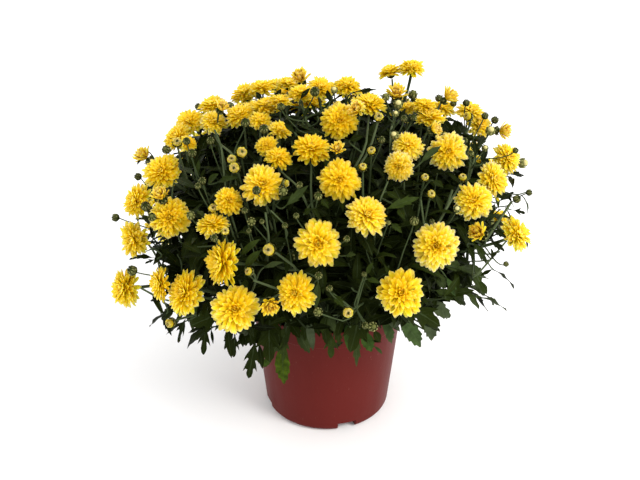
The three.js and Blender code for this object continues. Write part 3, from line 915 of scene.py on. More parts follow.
# Open flowers besides the CAD ones. In this and the next two lists: pixel, width in pixels, how
# far it tilts away from the camera and which way it leans, in degrees clockwise from up, and its
# hue unless that is plain. The hues are partly the flowers' own colour, partly painted light and
# shade: the pale heads lie on the lit right of the plant, most golden ones on its shaded left
OPEN_FLOWERS = [
    (244.5, 94, 32, 67, -22), (262, 88.5, 31, 74, -8), (275, 86, 26, 78, 0), (288, 85, 26, 74, 5),
    (301, 94, 28, 58, -5), (320.5, 88.5, 30, 52, 6), (347.4, 87, 31, 60, 5), (240.5, 116, 33, 54, -25),
    (253, 111, 30, 62, -12), (266, 107, 32, 66, -5), (280, 102, 26, 73, 0), (260, 121.5, 26, 54, 0),
    (280, 131, 26, 55, 15), (266.8, 146, 24, 35, -10, "golden"), (278.5, 158.5, 30, 48, 10, "golden"),
    (311.5, 149.5, 41, 46, 0, "golden"), (369.8, 105, 36, 66, 5), (262.8, 185.4, 45, 24, 0),
    (229, 201.2, 31, 28, 50, "golden"), (366.5, 216, 46, 34, 30, "pale"),
    (407.6, 146.5, 35, 38, 10, "pale"), (399, 166.5, 33, 22, -110, "pale"), (424, 106.5, 26, 66, 5),
    (442, 109, 29, 62, 14), (431, 119, 34, 68, 0), (470, 112.5, 32, 62, 20, "pale"),
    (479, 126, 30, 46, 45, "pale"), (492, 179.5, 37, 40, 75, "pale"),
    (390.5, 73, 27, 76, -15, "golden"), (408, 108.5, 20, 58, 5), (214, 123, 30, 48, 6),
    (189.7, 122.5, 33, 48, -38), (178, 138, 33, 56, -50), (188, 143.5, 19, 40, 20, "golden"),
    (138, 201, 38, 60, -80), (135.5, 239.5, 39, 50, -95), (213, 225.5, 35, 56, -10),
    (161.6, 284, 37, 72, -92, "golden"), (187, 293.5, 49, 50, -76, "golden"),
    (296, 293.4, 44, 22, -90, "golden"),
]

# Hues of the CAD heads: the same mix of own colour and painted light and shade as in the lists below
CAD_HUES = {
    3: "golden", 4: "pale", 5: "pale", 7: "golden", 8: "pale", 9: "golden", 11: "pale", 12: "pale",
    13: "golden", 15: "golden", 16: "golden",
}
CROWDED_STEPS = (0.0, 0.03, -0.03)  # heads that overlap in sight lie at different depths
HUES = {"amber": 0.0, "golden": 0.2, "plain": 0.5, "pale": 0.8, "cream": 1.0}

# Young flowers with upright golden petals
HALF_OPEN = [
    (300.5, 80, 17, 52, -10, "golden"), (337.8, 149.7, 13, 30, 10, "golden"), (357.7, 110, 16, 30, -30),
    (396.8, 95.2, 17, 45, 0, "golden"), (447, 98, 16, 78, 55, "golden"),
    (500.8, 130.8, 15, 78, 95, "golden"), (480.6, 234, 18, 42, -60, "amber"),
    (269.6, 304, 17.5, 30, 170, "amber"), (145.5, 157.5, 17, 84, -52, "golden"),
    (433, 129.4, 13, 70, 70), (221, 108.6, 13, 60, 30), (161.5, 197, 16, 62, -25, "golden"),
]

# Yellow buttons, just opening
BUTTONS = [
    (241.7, 152.5, 12.5, 20, 20), (232, 159.4, 11, 25, -30), (234.6, 167.8, 12.5, 15, -90),
    (177, 142, 11, 20, 0), (269, 249.7, 14, 15, -90), (371.4, 150.7, 10, 30, 0),
    (362.8, 167, 9.5, 40, 0), (425, 177.3, 9, 30, 20), (431.3, 194, 9.5, 20, 30),
    (348.2, 312.5, 12, 10, 180, "cream"), (248.9, 271.4, 9.5, 50, -80), (170, 323, 11, 60, -120),
    (213, 208.5, 11, 20, 0), (225.2, 231.3, 9.5, 20, 0), (467.6, 116.6, 10.5, 45, -60, "golden"),
    (286.2, 183.4, 8.5, 80, 90), (462.7, 177.5, 9.5, 50, 10), (378.7, 117, 11, 20, 0),
]

# Closed buds: the same, but with their ripeness from 0 to 1 in the place of the hue
GREEN_BUDS = [
    (283.3, 191.3, 9, 20, 10, 0.5), (251.4, 221.6, 8.5, 10, 0, 0.45), (248.8, 231, 5, 20, 0, 0.2),
    (261.9, 221.6, 5, 20, 0, 0.2), (244.7, 210.7, 6.5, 20, 0, 0.2), (284.9, 225.7, 6, 30, 0, 0.3),
    (296.2, 216, 6, 30, 0, 0.2), (318, 196.2, 8, 30, 10, 0.3), (299.5, 185, 6.5, 30, 10, 0.2),
    (318.6, 275.7, 7.5, 20, -10, 0.3), (318, 312, 9, 20, 90, 0.5), (372.7, 326.7, 10, 20, 90, 0.4),
    (365.5, 325.7, 7, 30, -40, 0.1), (364, 274.5, 5, 40, 10, 0.2), (346.6, 239, 6.5, 30, 30, 0.2),
    (388.5, 222.7, 4.5, 30, 30, 0.5), (457.2, 209, 7.5, 20, 10, 0.7), (414.2, 221.3, 9, 40, 10, 0.35),
    (432, 221.6, 5, 40, 0, 0.2), (394.8, 135.5, 9, 40, -30, 0.75), (385.6, 97.2, 8, 50, -10, 0.6),
    (398.4, 104, 9.5, 30, 0, 0.8), (412.7, 94.7, 9.5, 50, 20, 0.5), (395.8, 113.6, 6.5, 30, 0, 0.8),
    (404, 118.7, 6.5, 30, 0, 0.2), (413.2, 117.7, 7, 30, 10, 0.3), (334.2, 90, 7, 40, 0, 0.9),
    (314.8, 91.5, 9.5, 20, 0, 0.1), (256.5, 190.2, 8.5, 20, 0, 0.1), (245.4, 122.7, 9, 30, 0, 0.2),
    (263.8, 128.8, 9.5, 20, 10, 0.1), (281, 106.8, 7.5, 40, 0, 0.2), (230, 106.3, 8.5, 60, -40, 0.0),
    (198.4, 106.8, 7, 60, -40, 0.0), (186.6, 141, 7.5, 20, 0, 0.1), (166.2, 149.7, 8.5, 30, -50, 0.4),
    (138.2, 176.7, 7.5, 60, -60, 0.1), (145.8, 206.3, 9.5, 20, -20, 0.1),
    (115.7, 217.6, 8, 70, -80, 0.1), (152, 217, 8.5, 20, -20, 0.4), (190.7, 215.5, 8.5, 20, 0, 0.5),
    (202.4, 180.8, 7.5, 20, 0, 0.1), (197.9, 186, 6.5, 20, 0, 0.1), (192.2, 153.3, 8.5, 30, 0, 0.2),
    (210.6, 141, 7.5, 30, 0, 0.2), (132.4, 270.5, 10, 40, -60, 0.15), (214.2, 238, 7.5, 20, 0, 0.2),
    (466.2, 103, 7, 60, 20, 0.0), (485, 116, 7, 60, 30, 0.0), (494.8, 120.2, 7.5, 60, 40, 0.0),
    (438.7, 98.3, 7, 60, -40, 0.0), (453.5, 103.4, 6.5, 40, 30, 0.0), (485, 148.3, 7, 30, 20, 0.7),
    (464.7, 140.6, 6, 30, 0, 0.2), (470.8, 153.4, 6, 30, 0, 0.2), (381.6, 140, 7, 30, 0, 0.1),
    (516.7, 199.2, 8, 50, 60, 0.1), (529, 192.6, 6.5, 60, 70, 0.1), (506, 264, 5.5, 60, 60, 0.1),
    (515.5, 150.5, 6, 60, 40, 0.2), (329.5, 288.5, 6.5, 30, 10, 0.2), (490.5, 130.7, 10, 35, 20, 0.85),
    (522.6, 163.2, 10.5, 60, 80, 0.8),
]

# Where the stalk under a flower or bud goes out of sight: its pixel, by the pixel of the flower
STALK_FEET = {
    (256.5, 190.2): (265.8, 204.8), (281, 106.8): (298.5, 130.3), (362.8, 167): (362.8, 194),
    (462.7, 177.5): (448.4, 205), (269, 249.7): (293, 265.5), (251.4, 221.6): (266.5, 240),
    (261.9, 221.6): (267.6, 231.8), (364, 274.5): (355, 302), (414.2, 221.3): (403.5, 251),
    (318, 312): (343, 321), (311.5, 149.5): (311, 187.4), (278.5, 158.5): (296, 185),
    (369.8, 105): (366.3, 142.6), (378.7, 117): (372, 142.6), (301, 94): (306.6, 122),
    (214, 123): (234, 156), (479, 126): (470.8, 172.2), (396.8, 95.2): (390.7, 131.4),
    (413.2, 117.7): (406.5, 131.4), (132.4, 270.5): (154, 276), (457.2, 209): (448.4, 223.7),
    (516.7, 199.2): (507, 206), (529, 192.6): (519, 197), (186.6, 141): (198, 176),
    (192.2, 153.3): (197, 180),
}

# Stalks that show without a flower: pixels of top and foot, radius in mm
BARE_STALKS = [
    (214.7, 129.8, 219.3, 141, 1.2), (221.3, 147, 225.4, 187, 1.1), (265.5, 212.4, 268.6, 235.9, 1.2),
    (270.6, 210.4, 283.9, 223.7, 0.9), (253.3, 280.3, 277.8, 289, 1.2), (420.8, 199.8, 422.9, 217, 1.1),
    (388, 181.4, 381, 197.8, 1.0), (452.4, 190, 447.9, 203.3, 1.3), (511.6, 201.8, 488.2, 236.9, 1.5),
    (140.7, 288, 157, 297, 1.2), (506.5, 241, 478, 274, 1.1), (476.9, 150.8, 470.8, 172.2, 1.4),
]

# Leaves that show one by one: pixels of base and tip, width in pixels, kind, and how light they are; that
# lightness is partly their own green, partly painted light and shade as it falls on each leaf
DOME_LEAVES = [
    (175.4, 178.8, 196.8, 188, 8, "lance", 0.37), (180.5, 168.6, 194.8, 174.7, 6, "lance", 0.42),
    (208, 183.9, 218.3, 173.7, 8, "lance", 0.62), (217.2, 181.8, 237.7, 177.8, 7, "lance", 0.57),
    (196.8, 210.4, 204, 217.6, 6, "lance", 0.52), (354.6, 92, 377, 89.6, 5, "toothed", 0.05),
    (298.5, 124, 309.7, 130.3, 6, "lance", 0.42), (312.8, 208, 318, 217, 5, "lance", 0.42),
    (349.5, 140.5, 362.8, 136.4, 7, "lance", 0.37), (283.7, 208, 308.2, 185.4, 10, "toothed", 0.66),
    (321, 197.7, 329, 208.5, 7.5, "toothed", 0.52), (304.3, 214.5, 311.4, 208.4, 6, "lance", 0.52),
    (420.8, 163, 441.2, 145.7, 8, "lance", 0.66), (386, 191.6, 398.4, 199, 7, "lance", 0.47),
    (383, 210.4, 419.8, 197.1, 11, "toothed", 0.62), (398.4, 208, 404.5, 219, 7, "lance", 0.52),
    (433, 180.4, 443.3, 187.6, 7, "lance", 0.47), (467.8, 180.4, 478, 182.4, 6, "lance", 0.42),
    (390, 222.5, 402, 233, 8, "toothed", 0.57), (239.7, 256.4, 260, 239, 7.5, "lance", 0.62),
    (244.8, 267.7, 261, 250.3, 9, "lance", 0.62), (263, 268, 283.9, 262.4, 6, "lance", 0.7),
    (181.5, 243.2, 200.9, 253.4, 9, "lance", 0.42), (190.7, 245.2, 196.8, 238, 6, "lance", 0.47),
    (366.5, 274.7, 373.2, 262.4, 5.5, "lance", 0.62), (366.5, 278.8, 380, 283, 6, "lance", 0.57),
    (318.6, 281.8, 315.5, 309.4, 8, "lance", 0.66), (332.9, 294, 344, 307.3, 9, "toothed", 0.52),
    (345, 256, 356, 255, 8, "toothed", 0.66), (507, 174, 524, 176, 8, "toothed", 0.08),
    (510, 177, 512.7, 188, 6, "lance", 0.08), (509.6, 209.4, 525, 213.5, 8, "trident", 0.12),
    (497, 203, 514, 192, 7, "toothed", 0.12), (492.2, 228.8, 506.5, 238, 8, "toothed", 0.12),
    (489.2, 240, 504.5, 251.2, 8, "toothed", 0.12), (495.3, 252.2, 492.2, 259.4, 6, "lance", 0.37),
    (287, 116, 277, 104, 4, "lance", 0.1), (303, 120, 309, 105, 4, "lance", 0.15),
    (318, 117, 311, 104, 5, "toothed", 0.1), (325, 110, 334, 100, 4, "lance", 0.1),
    (295, 133, 284, 124, 5, "lance", 0.32), (388, 117, 381, 104, 5, "lance", 0.15),
    (399, 121, 406, 108, 4, "lance", 0.1), (462, 146, 452, 124, 9, "lance", 0.1),
    (458, 140, 462, 122, 8, "toothed", 0.15), (448, 134, 446, 120, 9, "lance", 0.1),
    (468, 150, 464, 132, 8, "lance", 0.15), (456, 134, 468, 128, 7, "lance", 0.32),
    (476, 158, 474, 140, 8, "toothed", 0.15), (482, 164, 486, 146, 7, "lance", 0.15),
    (300, 100, 310, 88, 5, "lance", 0.1), (330, 102, 327, 90, 5, "lance", 0.1),
    (262, 101, 256, 92, 5, "lance", 0.1), (276, 98, 281, 89, 5, "lance", 0.1),
    (452, 134, 444, 122, 10, "broad", 0.1), (460, 132, 454, 120, 10, "broad", 0.1),
    (470, 142, 462, 134, 10, "broad", 0.12), (478, 148, 484, 136, 9, "broad", 0.12),
    (158, 258.5, 144.8, 263.6, 5, "trident", 0.1), (146, 152, 137, 165, 4, "lance", 0.1),
]

# Those along the lower edge: the same, with their distance in mm from the pot's axis after the kind; their
# lightness is raised where they lie in the shade under the flowers, as painted light
EDGE_LEAVES = [
    (168, 313, 149.5, 327, 6, "lance", 200, 0.15), (162, 316, 171.5, 335.5, 6.5, "toothed", 195, 0.15),
    (178, 304, 162, 320, 10, "broad", 194, 0.25), (163, 303, 181, 317, 9, "toothed", 192, 0.25),
    (160, 300, 150, 301, 3.5, "lance", 196, 0.1), (190, 308, 178.5, 342.5, 10, "trident", 187, 0.2),
    (184, 322, 166, 334.7, 5, "lance", 187, 0.15), (205, 327, 187, 348.5, 8, "lance", 177, 0.2),
    (207, 316, 203.5, 354.5, 13, "trident", 174, 0.25), (204, 328, 188, 333, 4.5, "lance", 175, 0.15),
    (211, 329, 213.2, 344, 3, "lance", 172, 0.1), (192, 312, 205, 332, 10, "broad", 178, 0.25),
    (252, 326, 243, 345, 11, "broad", 142, 0.25), (258, 330, 250, 346, 10, "toothed", 138, 0.3),
    (244, 328, 246, 346, 9, "broad", 145, 0.2), (263, 322, 260, 345, 11, "broad", 128, 0.35),
    (246, 322, 252, 343, 12, "broad", 146, 0.3), (238, 324, 249, 338, 9, "toothed", 150, 0.25),
    (228, 318, 240, 334, 9, "broad", 153, 0.25), (236, 324, 224.5, 349.5, 9, "toothed", 152, 0.2),
    (236, 326, 233.8, 357, 12, "trident", 150, 0.2), (240, 330, 243, 347, 8, "toothed", 148, 0.2),
    (240, 333, 263, 345.5, 9, "broad", 136, 0.64), (250, 333, 237, 345, 7, "lance", 132, 0.25),
    (257, 330, 248.5, 378, 16, "lobed", 130, 0.3), (259, 343, 262.5, 369, 6.5, "lance", 124, 0.3),
    (277, 349, 263.5, 367.5, 8, "broad", 112, 0.95), (268, 330, 271, 352, 12, "broad", 118, 0.4),
    (294, 324, 273, 352, 17, "broad", 122, 0.65), (282, 338, 284, 384, 15.5, "broad", 116, 1.0),
    (286, 330, 283, 361, 11, "lobed", 124, 0.62), (294, 327, 309.5, 353, 13, "broad", 118, 0.68),
    (288, 320, 300, 338, 10, "broad", 122, 0.45), (275, 320, 281, 346, 11, "broad", 122, 0.45),
    (302, 316, 305, 341, 9, "toothed", 121, 0.5), (312, 318, 320, 337, 8, "toothed", 120, 0.45),
    (322, 320, 327, 345, 10, "broad", 121, 0.45), (335, 320, 340, 346, 9, "toothed", 121, 0.55),
    (328, 312, 322, 334, 9, "lance", 122, 0.5), (343, 318, 337, 336, 9, "broad", 122, 0.45),
    (352, 316, 355, 338, 9, "toothed", 122, 0.5), (367, 316, 364, 338, 10, "toothed", 122, 0.5),
    (374, 330, 380, 342, 8, "lance", 120, 0.5), (384, 312, 397, 329, 9, "toothed", 124, 0.6),
    (307.3, 316, 313, 350.5, 8.5, "lance", 126, 0.80), (328, 315, 334.5, 332, 8.5, "lance", 126, 0.68),
    (331, 324, 331, 358, 15, "trident", 118, 0.6), (333, 348, 343.5, 342, 5, "lance", 112, 0.76),
    (346, 321, 348.5, 350.5, 7.5, "lance", 120, 0.88),
    (356, 329, 356.5, 366.5, 9, "toothed", 116, 0.67), (362, 327, 371.5, 351.5, 13, "broad", 114, 0.88),
    (374, 346, 382.5, 354, 3.5, "lance", 106, 0.86), (371, 341, 381.5, 342, 3.5, "lance", 108, 0.62),
    (380, 314, 392, 343.5, 12, "broad", 118, 0.85), (383, 313, 400, 331.5, 7.5, "lance", 126, 0.78),
    (395, 308, 421, 346.5, 17, "broad", 130, 0.85), (398, 320, 407.5, 335.5, 8, "toothed", 124, 0.3),
    (428, 303, 431.5, 340.5, 16, "broad", 142, 0.8), (420, 297, 450, 317.5, 17, "broad", 150, 0.74),
    (434, 290, 452, 299, 12, "broad", 156, 0.64), (446, 284, 464, 297, 11, "broad", 160, 0.62),
    (444, 292, 466, 304, 12, "broad", 158, 0.66), (450, 284, 476, 303, 13, "broad", 164, 0.64),
    (458, 285, 494, 305, 12, "toothed", 172, 0.55), (464, 290, 479, 309, 7, "lance", 171, 0.55),
    (474, 296, 507, 311.5, 6, "lance", 173, 0.5), (452, 267, 488, 279, 15, "toothed", 176, 0.64),
    (479, 281, 487, 294, 7, "lance", 185, 0.5), (480, 276, 492, 269.5, 4, "lance", 190, 0.3),
    (492, 269, 514.2, 289, 3.5, "lance", 200, 0.15), (438, 262, 462, 268, 12, "broad", 168, 0.66),
    (445.5, 276, 455.5, 296, 8, "broad", 174, 0.86), (471, 240, 486, 263.5, 10, "toothed", 188, 0.5),
    (467.8, 247, 474.4, 258, 6, "lance", 187, 0.3), (492, 259, 496, 250.5, 5, "lance", 196, 0.5),
    (489, 240, 504.5, 252, 4.5, "lance", 194, 0.2), (430, 272, 446, 288, 13, "broad", 160, 0.66),
]

# In front of the pot every leaf is listed, and none of the others hangs there: left, top, right
# and bottom pixel
RIM_ZONE = (262, 330, 436, 400)

# Where the backdrop shows between or below the outer leaves: pixel and radius in pixels
CLEARINGS = [
    (474, 260, 6), (488, 249, 8), (499, 240, 7), (480, 259, 6), (510, 262, 11), (497, 264, 4),
    (490, 286, 6), (454, 312, 8), (446, 326, 8), (440, 348, 11), (514, 190, 7), (508, 207, 6),
    (155, 272, 6), (149, 286, 6), (152, 312, 7), (142, 262, 6),
]

BACK_HEAD_GAP = 41 * MM  # usual distance between heads where no pixel places them
BACK_TRIES = 640  # places on the dome that are tried for them
BACK_BUD_COUNT = 60
FIRST_HIDDEN = 0.05  # hidden share from which no pixel places the heads
WELL_HIDDEN = 0.3  # hidden share from which nothing near the outline can show
BUD_HEAD_GAP = 20 * MM
HEAD_CLEARANCE = 15  # pixels between a head's heart and a clearing
CROWDED_TILT = 56  # heads tilted further than this overlap their neighbours in sight
FOOT_REACH = 0.94  # how far out in the dome a stalk goes out of sight
HEAD_KINDS = {"open": (33, 43), "half": (13, 18), "button": (9, 12)}  # widths in mm at the back


def hidden_share(point):
    """How far a place on the dome is turned away from the camera: 0 at the dome's outline."""
    outward = unit((point - DOME_HEART) / DOME_SIZE**2)
    return outward @ unit(point - CAMERA_PLACE)


def fullness(azimuth, elevation):
    """How far out the plant reaches, in shares of the dome: less low down at the sides."""
    low = min(max((14 - elevation) / 24, 0), 1)
    return 1 - 0.2 * low * math.sin(math.radians(azimuth)) ** 2


def spiral(count, highest, lowest):
    """Directions spread evenly over the dome between two sines, each with the fullness there."""
    for step in range(count):
        sine = highest - (highest - lowest) * (step + 0.5) / count
        azimuth, elevation = math.degrees(step * GOLDEN_ANGLE), math.degrees(math.asin(sine))
        yield direction(azimuth, elevation), fullness(azimuth, elevation)


def reach_for(px, py, heads, usual):
    """Small things are further out where an open flower lies behind them."""
    for head in heads:
        hx, hy = pixel_of(head["place"])
        width = head["across"] / real_width(1, head["place"])
        if head["kind"] == "open" and math.hypot(px - hx, py - hy) < 0.42 * width:
            return usual + 0.07
    return usual


def seen_place(px, py, width, tilt, lean, reach):
    """Place, facing, width and stalk's foot of what the photograph shows at a pixel."""
    place, foot = on_dome(px, py, reach), STALK_FEET.get((px, py))
    return {
        "place": place, "facing": facing_seen(place, tilt, lean), "across": real_width(width, place),
        "foot": foot and on_dome(*foot, FOOT_REACH),
    }


def gather_heads(stems):
    """Every flower head as a dict: kind, place, facing, across, hue, and its CAD number if any."""
    heads = [dict(stem, kind="open", hue=HUES[CAD_HUES.get(stem["number"], "plain")]) for stem in stems]
    for kind, flowers in (("open", OPEN_FLOWERS), ("half", HALF_OPEN), ("button", BUTTONS)):
        for number, (px, py, width, tilt, lean, *hue) in enumerate(flowers):
            reach = 1 if kind == "open" else reach_for(px, py, heads, 1.01)
            if kind == "open" and tilt > CROWDED_TILT:
                reach += CROWDED_STEPS[number % 3]
            head = seen_place(px, py, width, tilt, lean, reach)
            heads.append(dict(head, kind=kind, number=None, hue=HUES[hue[0] if hue else "plain"]))
    for outward, full in spiral(BACK_TRIES, 0.999, -0.171):
        hidden = hidden_share(DOME_HEART + outward * DOME_SIZE)
        reach = rng.uniform(0.93, 1.01) * full * (1 if hidden > WELL_HIDDEN else 0.87)
        place = DOME_HEART + outward * DOME_SIZE * reach
        if hidden < FIRST_HIDDEN or in_clearing(place, HEAD_CLEARANCE):
            continue
        nearest = min(np.linalg.norm(place - head["place"]) for head in heads)
        if nearest < BACK_HEAD_GAP * rng.uniform(0.72, 1.12):
            continue
        facing = unit(unit(outward / DOME_SIZE) + 0.25 * rng.normal(size=3) + 0.25 * UP)
        kind = rng.choice(list(HEAD_KINDS), p=[0.82, 0.08, 0.10])
        widths = {name: rng.uniform(*limits) for name, limits in HEAD_KINDS.items()}
        heads.append({
            "kind": kind, "place": place, "facing": facing, "across": widths[kind] * MM,
            "number": None, "foot": None, "hue": rng.uniform(0.15, 0.8), "petals": BACK_PETALS,
        })
    return heads


def gather_buds(heads):
    """Every closed bud as a dict: place, facing, across, ripe and its stalk's foot, if that shows."""
    buds = []
    for px, py, width, tilt, lean, ripe in GREEN_BUDS:
        reach = reach_for(px, py, heads, 1.02)
        buds.append(dict(seen_place(px, py, width, tilt, lean, reach), ripe=ripe))
    while len(buds) < len(GREEN_BUDS) + BACK_BUD_COUNT:
        azimuth, elevation = rng.uniform(0, 360), rng.uniform(-8, 85)
        outward = direction(azimuth, elevation)
        place = DOME_HEART + outward * DOME_SIZE * rng.uniform(0.94, 1.04) * fullness(azimuth, elevation)
        if hidden_share(place) < WELL_HIDDEN:
            continue
        if min(np.linalg.norm(place - head["place"]) for head in heads) < BUD_HEAD_GAP:
            continue
        buds.append({
            "place": place, "facing": unit(outward + 0.4 * rng.normal(size=3) + 0.4 * UP), "foot": None,
            "across": rng.uniform(6, 10) * MM, "ripe": rng.choice([0.05, 0.2, 0.5, 0.8]),
        })
    return buds


# ------------------------------------------------------------------ branching


class Boughs:
    """Every stem and shoot so far, to find where the next one leaves from."""

    def __init__(self):
        self.points, self.ways, self.owners = np.empty((0, 3)), np.empty((0, 3)), []

    def add(self, path, owner, first, last):
        low, high = int(first * len(path)), int(last * len(path))
        self.points = np.concatenate([self.points, path[low:high]])
        self.ways = np.concatenate([self.ways, tangents(path)[low:high]])
        self.owners += [owner] * (high - low)

    def start_for(self, target, usual):
        """Start, direction and owner of the best shoot to target: from below and inside."""
        rise = unit(unit((target - DOME_HEART) / DOME_SIZE**2) + UP)
        away = target - self.points
        along = away @ rise
        side = np.linalg.norm(away - along[:, None] * rise, axis=1)
        reach = np.linalg.norm(away, axis=1)
        cost = 1.4 * side + 0.4 * np.abs(along - usual) + 3 * np.maximum(0.3 * usual - along, 0)
        best = int(np.argmin(cost + 2 * np.maximum(12 * MM - reach, 0)))
        return self.points[best], self.ways[best], self.owners[best]

    def start_behind(self, target):
        """The nearest point that lies deeper in the plant than the target."""
        proud = depth_share(self.points) - depth_share(target) + 0.04
        cost = np.linalg.norm(self.points - target, axis=1) + 0.25 * np.maximum(proud, 0)
        return self.points[int(np.argmin(cost))]


def shoot_path(start, way, end, facing, count):
    """A shoot that leaves its stem gently, runs straight and bends only at its head."""
    span = np.linalg.norm(end - start)
    straight = unit(end - start)
    lead = start + unit(way + straight) * span * 0.3
    neck = end - unit(facing + 0.7 * straight + 0.25 * UP) * min(span * 0.34, 26 * MM)
    return bezier(start, lead, neck, end, count)


def shoot_over(start, way, foot, end, facing, count):
    """The same for a shoot that has to pass through its foot, where it comes into sight."""
    rise = unit(end - foot)
    first, second = 0.3 * np.linalg.norm(foot - start), 0.3 * np.linalg.norm(end - foot)
    hidden = bezier(start, start + unit(way) * first, foot - rise * first, foot, count // 2)
    neck = end - unit(facing + 0.7 * rise) * second
    return np.concatenate([hidden, bezier(foot, foot + rise * second, neck, end, count // 2 + 1)[1:]])


def add_shoot(boughs, base, facing, foot, usual, count):
    """Path of a shoot up to base, and the stem that carries it."""
    if foot is None:
        start, way, stem = boughs.start_for(base, usual)
        return shoot_path(start, way, base, facing, count), stem
    start, way, stem = boughs.start_for(foot, 0.6 * usual)
    return shoot_over(start, way, foot, base, facing, count), stem


CUP_SHARES = {"open": 0.33, "half": 0.64, "button": 0.92}  # the calyx's size, of the head's
HEART_MARKS = (0.9, 0.5, 0.4, 0.15)
DIMPLE_MARKS = (0, 0.2, 0.66, 0)
CALYX_MARKS = (0, 0.2, 0.3, 0)
CREAMY = 0.85
CREAMY_FROM = 0.6  # buds riper than this show creamy petals


def add_head(head, petals, green, name, replaced):
    """One flower: its petals as a piece of their own, its green calyx in its stem's pile."""
    basis, pile = basis_for(head["facing"]), Pile()
    head["looseness"] = rng.uniform(0.6, 1.35)
    MAKERS[head["kind"]](pile, head, basis)
    radius, cup = head["across"] / 2, CUP_SHARES[head["kind"]] * head["across"] / 2

    def on_axis(distance):
        return head["place"] + head["facing"] * distance

    if head["kind"] == "button":
        ball(green, on_axis(0.04 * radius), basis, 0.42 * radius, 0.8, DIMPLE_MARKS, BRACT_SKIN, 3, 7)
        heart, heart_radius = on_axis(-0.25 * radius), 0.66 * radius
    else:
        heart, heart_radius = on_axis(0.12 * radius), 0.72 * cup
    ball(pile, heart, basis, heart_radius, 0.7, HEART_MARKS, 0, 3, 7)
    sunk = -(0.5 if head["kind"] == "half" else 0.22) * cup
    outline = PLAIN_SCALE if head["kind"] == "open" else SCALE
    scales(green, on_axis(sunk), basis, cup, [(8, 0.8), (9, 1.0)], math.radians(86), 0.35, outline)
    ball(green, on_axis(sunk - 0.3 * cup), basis, 0.66 * cup, 0.9, CALYX_MARKS, BRACT_SKIN)
    pile.build(name, [petals], "petal_yellow", replaced)


def add_bud(green, place, facing, across, ripe):
    """A closed bud: green scales round a ball, with a cap of pale petals once it is ripe."""
    basis, radius = basis_for(facing), across / 2
    ball(green, place, basis, 0.88 * radius, 0.95, (0, 0.4, 0.2 + 0.7 * ripe, 0), BRACT_SKIN)
    wrap, tone = math.radians(150 - 42 * ripe), 0.18 + 0.8 * ripe
    scales(green, place, basis, 0.95 * radius, [(7, 0.72), (8, 1.0)], wrap, tone)
    if ripe > 0.3:
        cap = (0.35 + 0.35 * ripe) * radius
        centre = place + facing * (0.98 * radius - 0.6 * cap)
        marks = (0.3, 0.6, 0.3 + 0.7 * ripe, CREAMY if ripe > CREAMY_FROM else 0.0)
        ball(green, centre, basis, cap, 0.75, marks, BRACT_SKIN, 3, 8)


# ------------------------------------------------------------------ the plant

# Leafy shoots without flowers that close the plant's surface, the same deeper down, and those
# under the flowers of the upper part: how many, the sine where the lowest is, their nearest and
# furthest share of the dome, and their leaves
LEAFY_LAYERS = [
    (200, -0.23, 0.76, 0.92, FILLER_FOLIAGE),
    (100, -0.23, 0.45, 0.72, HIDDEN_FOLIAGE),
    (125, 0.35, 0.66, 0.84, HIDDEN_FOLIAGE),
]
LOW_SHOOTS = 34  # leafy shoots that leave the soil and hang out over the rim
SHOOT_LENGTH = 70 * MM  # usual length of a side stalk with a flower
FILLER_LENGTH = 60 * MM
BUD_STALK_LENGTH = 30 * MM
SINGLE_LEAF_BEND, SINGLE_LEAF_FOLD = 0.35, 0.3
CAD_LEAF_BEND, CAD_LEAF_FOLD = 0.45, 0.25
STALK_SHORTFALL = 7 * MM  # a side stalk ends this far below its head, inside the calyx
STEM_RADII = (2.3 * MM, 1.5 * MM)
LOW_SHOOT_RADII = (1.9 * MM, 1.0 * MM)
FILLER_RADII = (1.1 * MM, 0.7 * MM)
BUD_STALK_RADII = (0.68 * MM, 0.55 * MM)
LEAF_STALK_RADII = (0.9 * MM, 0.6 * MM)
CAD_BUD_RADII = (1.2 * MM, 1.0 * MM)


def low_shoot_path(number):
    azimuth = number * 360 / LOW_SHOOTS + rng.uniform(-5, 5)
    reach = rng.uniform(0.50, 0.86) * fullness(azimuth, -10) * DOME_SIZE[0]
    outward = direction(azimuth, 0)
    root = outward * rng.uniform(20, 44) * MM + (POT_HEIGHT - 19 * MM) * UP
    end = outward * reach + rng.uniform(172, 210) * MM * UP
    shoulder = root + rng.uniform(48, 70) * MM * UP + outward * 12 * MM
    neck = end - unit(outward + rng.uniform(-0.2, 0.4) * UP) * 0.34 * reach
    return bezier(root, shoulder, neck, end, 16)


def leafy_shoots(boughs, shoots, leaves, count, lowest, nearest, furthest, foliage):
    """Side shoots without flowers, spread over the dome between two shares of its size."""
    sides = 4 if foliage is HIDDEN_FOLIAGE else 6
    for outward, full in spiral(count, 0.97, lowest):
        reach = rng.uniform(nearest, furthest) * (1.08 if outward[1] > 0 else 1) * full
        end = DOME_HEART + outward * DOME_SIZE * reach
        start, way, _ = boughs.start_for(end, FILLER_LENGTH)
        path = kept_back(shoot_path(start, way, end, unit(outward + 0.8 * UP), 8))
        tube(shoots, path, FILLER_RADII, 0.5, rng.uniform(0.0, 0.5), sides)
        leaves_along(leaves, path, **foliage)


